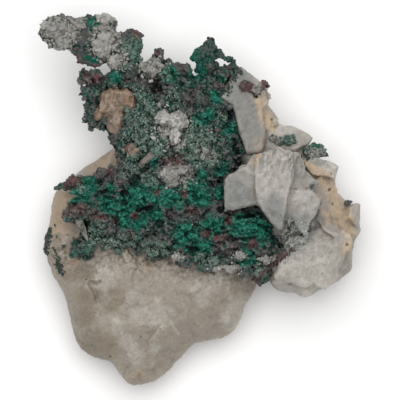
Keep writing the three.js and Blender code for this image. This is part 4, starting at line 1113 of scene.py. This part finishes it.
def near_pockets(table):
    """How near each triangle of the crust is to a quartz pocket, seen from above."""
    found = np.zeros(len(table))
    for node in POCKETS:
        low, high = (np.array(corner[:2]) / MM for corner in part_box(node))
        half = (high - low) / 2
        away = np.linalg.norm((table[:, :2] - (low + high) / 2) / (half + 0.4), axis=1)
        found = np.maximum(found, np.clip(1.5 - away, 0, 0.5) * 2)
    return found


class SPECIMEN_OT_grains(bpy.types.Operator):
    """Scatters nibs of crust, pale quartz grains and chips, and tufts of malachite on the quartz"""

    bl_idname = "specimen.grains"
    bl_label = "Grains"

    def execute(self, context):
        look = context.scene.grain_look
        nib = bpy.data.objects["copper_body"].data.materials[0]
        table = surface(CRUSTED.values(), MARKS)
        x, y, z = table[:, :3].T
        face_up = held(table[:, UP])
        _, red, dull, frost, hole, _, _, druse = table[:, FIRST_MARK:].T
        low = np.where(z < FLANK_TOP, 0.15, 1.0)
        arm_or_spire = (y > 24) & ((x < -10) | (x > -2.5))
        thin = np.where(arm_or_spire, 0.45, 1.0)
        up = np.clip(table[:, UP] + 0.7, 0.1, 1) * low * (1.1 - hole) * thin
        small = (1 - 0.6 * druse) * (1 - spotted(table, PRESSED)) ** 2
        scatter("crust_nibs", table, up * (0.5 + dull + red) * small, look.nib_count, look.size,
                nib, "malachite_crust", seed=3)

        knots = surface(POCKETS.values())
        plain = 1.0 - 0.6 * spotted(knots, PLAIN_KNOT)
        on_knots = np.where(knots[:, 1] > ARM_START, 0.3, plain)
        rim = near_pockets(table) ** 2 * (1 - hole) * np.where(y > ARM_START, 0.8, 0.35)
        rim = rim + spotted(table, NOTCH) ** 3
        scatter("pocket_crystals", np.concatenate([knots, table[:, :FIRST_MARK]]),
                np.concatenate([on_knots, rim]), 2400, look.size * 1.5,
                grain_finish("pocket_crystal", (0.20, 0.195, 0.18), (0.40, 0.39, 0.365), 0.25),
                "white_quartz", seed=11, proud=-0.1)

        tan_x, tan_y, half_x, half_y = TAN_CHIPS
        tan = (np.hypot((x - tan_x) / half_x, (y - tan_y) / half_y) < 1) * face_up
        scatter("tan_chips", table, tan, 60, look.size * 2.6,
                grain_finish("tan_chip", (0.13, 0.095, 0.07), (0.25, 0.19, 0.145), 0.4),
                "tan_quartz", seed=19, stretch=1.4, proud=-0.1)

        scatter("frost_grains", table, up * (0.015 + frost ** 2), look.frost_count,
                look.size * 0.72,
                grain_finish("frost_grain", (0.10, 0.145, 0.125), (0.32, 0.345, 0.32), 0.3),
                "white_quartz", seed=5, stretch=1.6)

        stone = surface(("lower_quartz", "right_quartz", "blades"), ("moss",))
        x, y, z = stone[:, :3].T
        waves = np.sin(4.1 * x + 2 * np.sin(2.7 * y)) * np.sin(3.3 * y + 2 * np.sin(2.9 * z))
        ledges = np.where(x > 5, (z > 11) * held(3 * stone[:, UP] - 1), z > 3)
        mossy = held(stone[:, FIRST_MARK] - 0.4) * (waves > -0.1) * ledges
        stone = stone[:, :FIRST_MARK]
        scatter("malachite_tufts", stone, mossy, 800, look.size,
                grain_finish("dark_moss", (0.006, 0.014, 0.011), (0.045, 0.070, 0.055), 0.5),
                "malachite_crust", seed=9)

        corner = surface(("right_quartz", "blades", "seam"))
        inside = spotted(corner, SEAM_CHIPS) ** 2 * (corner[:, 2] > 13) * held(corner[:, UP])
        scatter("seam_chips", corner, inside, 620, look.size * 1.1,
                grain_finish("pale_chip", (0.235, 0.25, 0.23), (0.42, 0.43, 0.405), 0.3),
                "white_quartz", seed=17, stretch=2.6, proud=-0.1)

        rims = np.concatenate([table[:, :FIRST_MARK], stone])
        rims = np.column_stack([rims, np.tile(RIM_MARKS, (len(rims), 1))])
        reddish = spotted(rims, RED_RIM) ** 3 * (rims[:, 2] > 8) * held(rims[:, UP])
        scatter("rim_crust", rims, reddish, 240, look.size * 1.5, nib, "malachite_crust",
                seed=23, stretch=1.6, proud=0.0)

        band = grainy_band(x, y, 14) * (x < 10) * held(stone[:, UP]) + 0.02 * (z > 4)
        scatter("quartz_sugar", stone, band, 1100, look.size * 0.6,
                grain_finish("sugar_grain", (0.27, 0.25, 0.22), (0.52, 0.50, 0.46), 0.2),
                "white_quartz", seed=13, stretch=1.3, proud=-0.2)
        return {"FINISHED"}


# --- floor, light and camera


class SPECIMEN_OT_stage(bpy.types.Operator):
    """Adds the pale floor, the soft lamp and the camera"""

    bl_idname = "specimen.stage"
    bl_label = "Stage"

    def execute(self, context):
        look = context.scene.stage_look
        bpy.ops.object.select_all(action="DESELECT")
        bpy.ops.mesh.primitive_plane_add(size=3.0)
        floor = context.object
        floor.name = "floor"
        board = Board("floor_paper")
        paper = board.blend((0.95, 0.95, 0.95), (0.975, 0.975, 0.975), board.noise(40, 2))
        floor.data.materials.append(board.finish(Base_Color=paper, Roughness=0.9))

        world = bpy.data.worlds.new("even_light")
        context.scene.world = world
        world.use_nodes = True
        sky = world.node_tree.nodes["Background"].inputs
        sky["Color"].default_value = (1.0, 0.995, 0.985, 1.0)
        sky["Strength"].default_value = look.sky

        bpy.ops.object.light_add(type="AREA", location=(-0.01, 0.15, 0.60))
        lamp = context.object
        lamp.name = "soft_lamp"
        lamp.data.shape, lamp.data.size = "DISK", 0.70
        lamp.data.energy = look.lamp_power
        lamp.rotation_euler = (-lamp.location).to_track_quat("-Z", "Y").to_euler()

        bpy.ops.object.camera_add()
        camera = context.object
        camera.name = "camera_above"
        crust_height = 14 * MM
        camera.location = (0.05 * MM, -0.10 * MM, crust_height + look.camera_height)
        camera.rotation_euler = (0, 0, 0)
        film_width = 36
        camera.data.sensor_width = film_width
        camera.data.lens = film_width * look.camera_height / look.view_width
        camera.data.clip_end = 10
        context.scene.camera = camera
        context.scene.view_settings.view_transform = "Standard"
        return {"FINISHED"}


class SPECIMEN_PT_panel(bpy.types.Panel):
    """Lists what builds the specimen"""

    bl_idname = "SPECIMEN_PT_panel"
    bl_label = "Malachite on copper"
    bl_space_type = "VIEW_3D"
    bl_region_type = "UI"
    bl_category = "Specimen"

    def draw(self, context):
        for operator in OPERATORS:
            self.layout.operator(operator.bl_idname)
        for name in LOOKS:
            box = self.layout.box()
            look = getattr(context.scene, name)
            for key in look.__annotations__:
                box.prop(look, key)


OPERATORS = (
    SPECIMEN_OT_lower_quartz, SPECIMEN_OT_right_quartz, SPECIMEN_OT_blades, SPECIMEN_OT_pockets,
    SPECIMEN_OT_tan_quartz, SPECIMEN_OT_splinters, SPECIMEN_OT_crust, SPECIMEN_OT_grains,
    SPECIMEN_OT_stage,
)
LOOKS = {"quartz_look": QuartzLook, "crust_look": CrustLook, "grain_look": GrainLook,
         "stage_look": StageLook}
CLASSES = (*LOOKS.values(), *OPERATORS, SPECIMEN_PT_panel)


def register():
    """Makes the operators, the panel and the sizes known."""
    for kind in CLASSES:
        bpy.utils.register_class(kind)
    for name, kind in LOOKS.items():
        setattr(bpy.types.Scene, name, bpy.props.PointerProperty(type=kind))


def unregister():
    """Forgets them again."""
    for name in LOOKS:
        delattr(bpy.types.Scene, name)
    for kind in reversed(CLASSES):
        bpy.utils.unregister_class(kind)


def main():
    """Builds the whole specimen."""
    register()
    for operator in OPERATORS:
        group, name = operator.bl_idname.split(".")
        getattr(getattr(bpy.ops, group), name)()


if __name__ == "__main__":
    main()
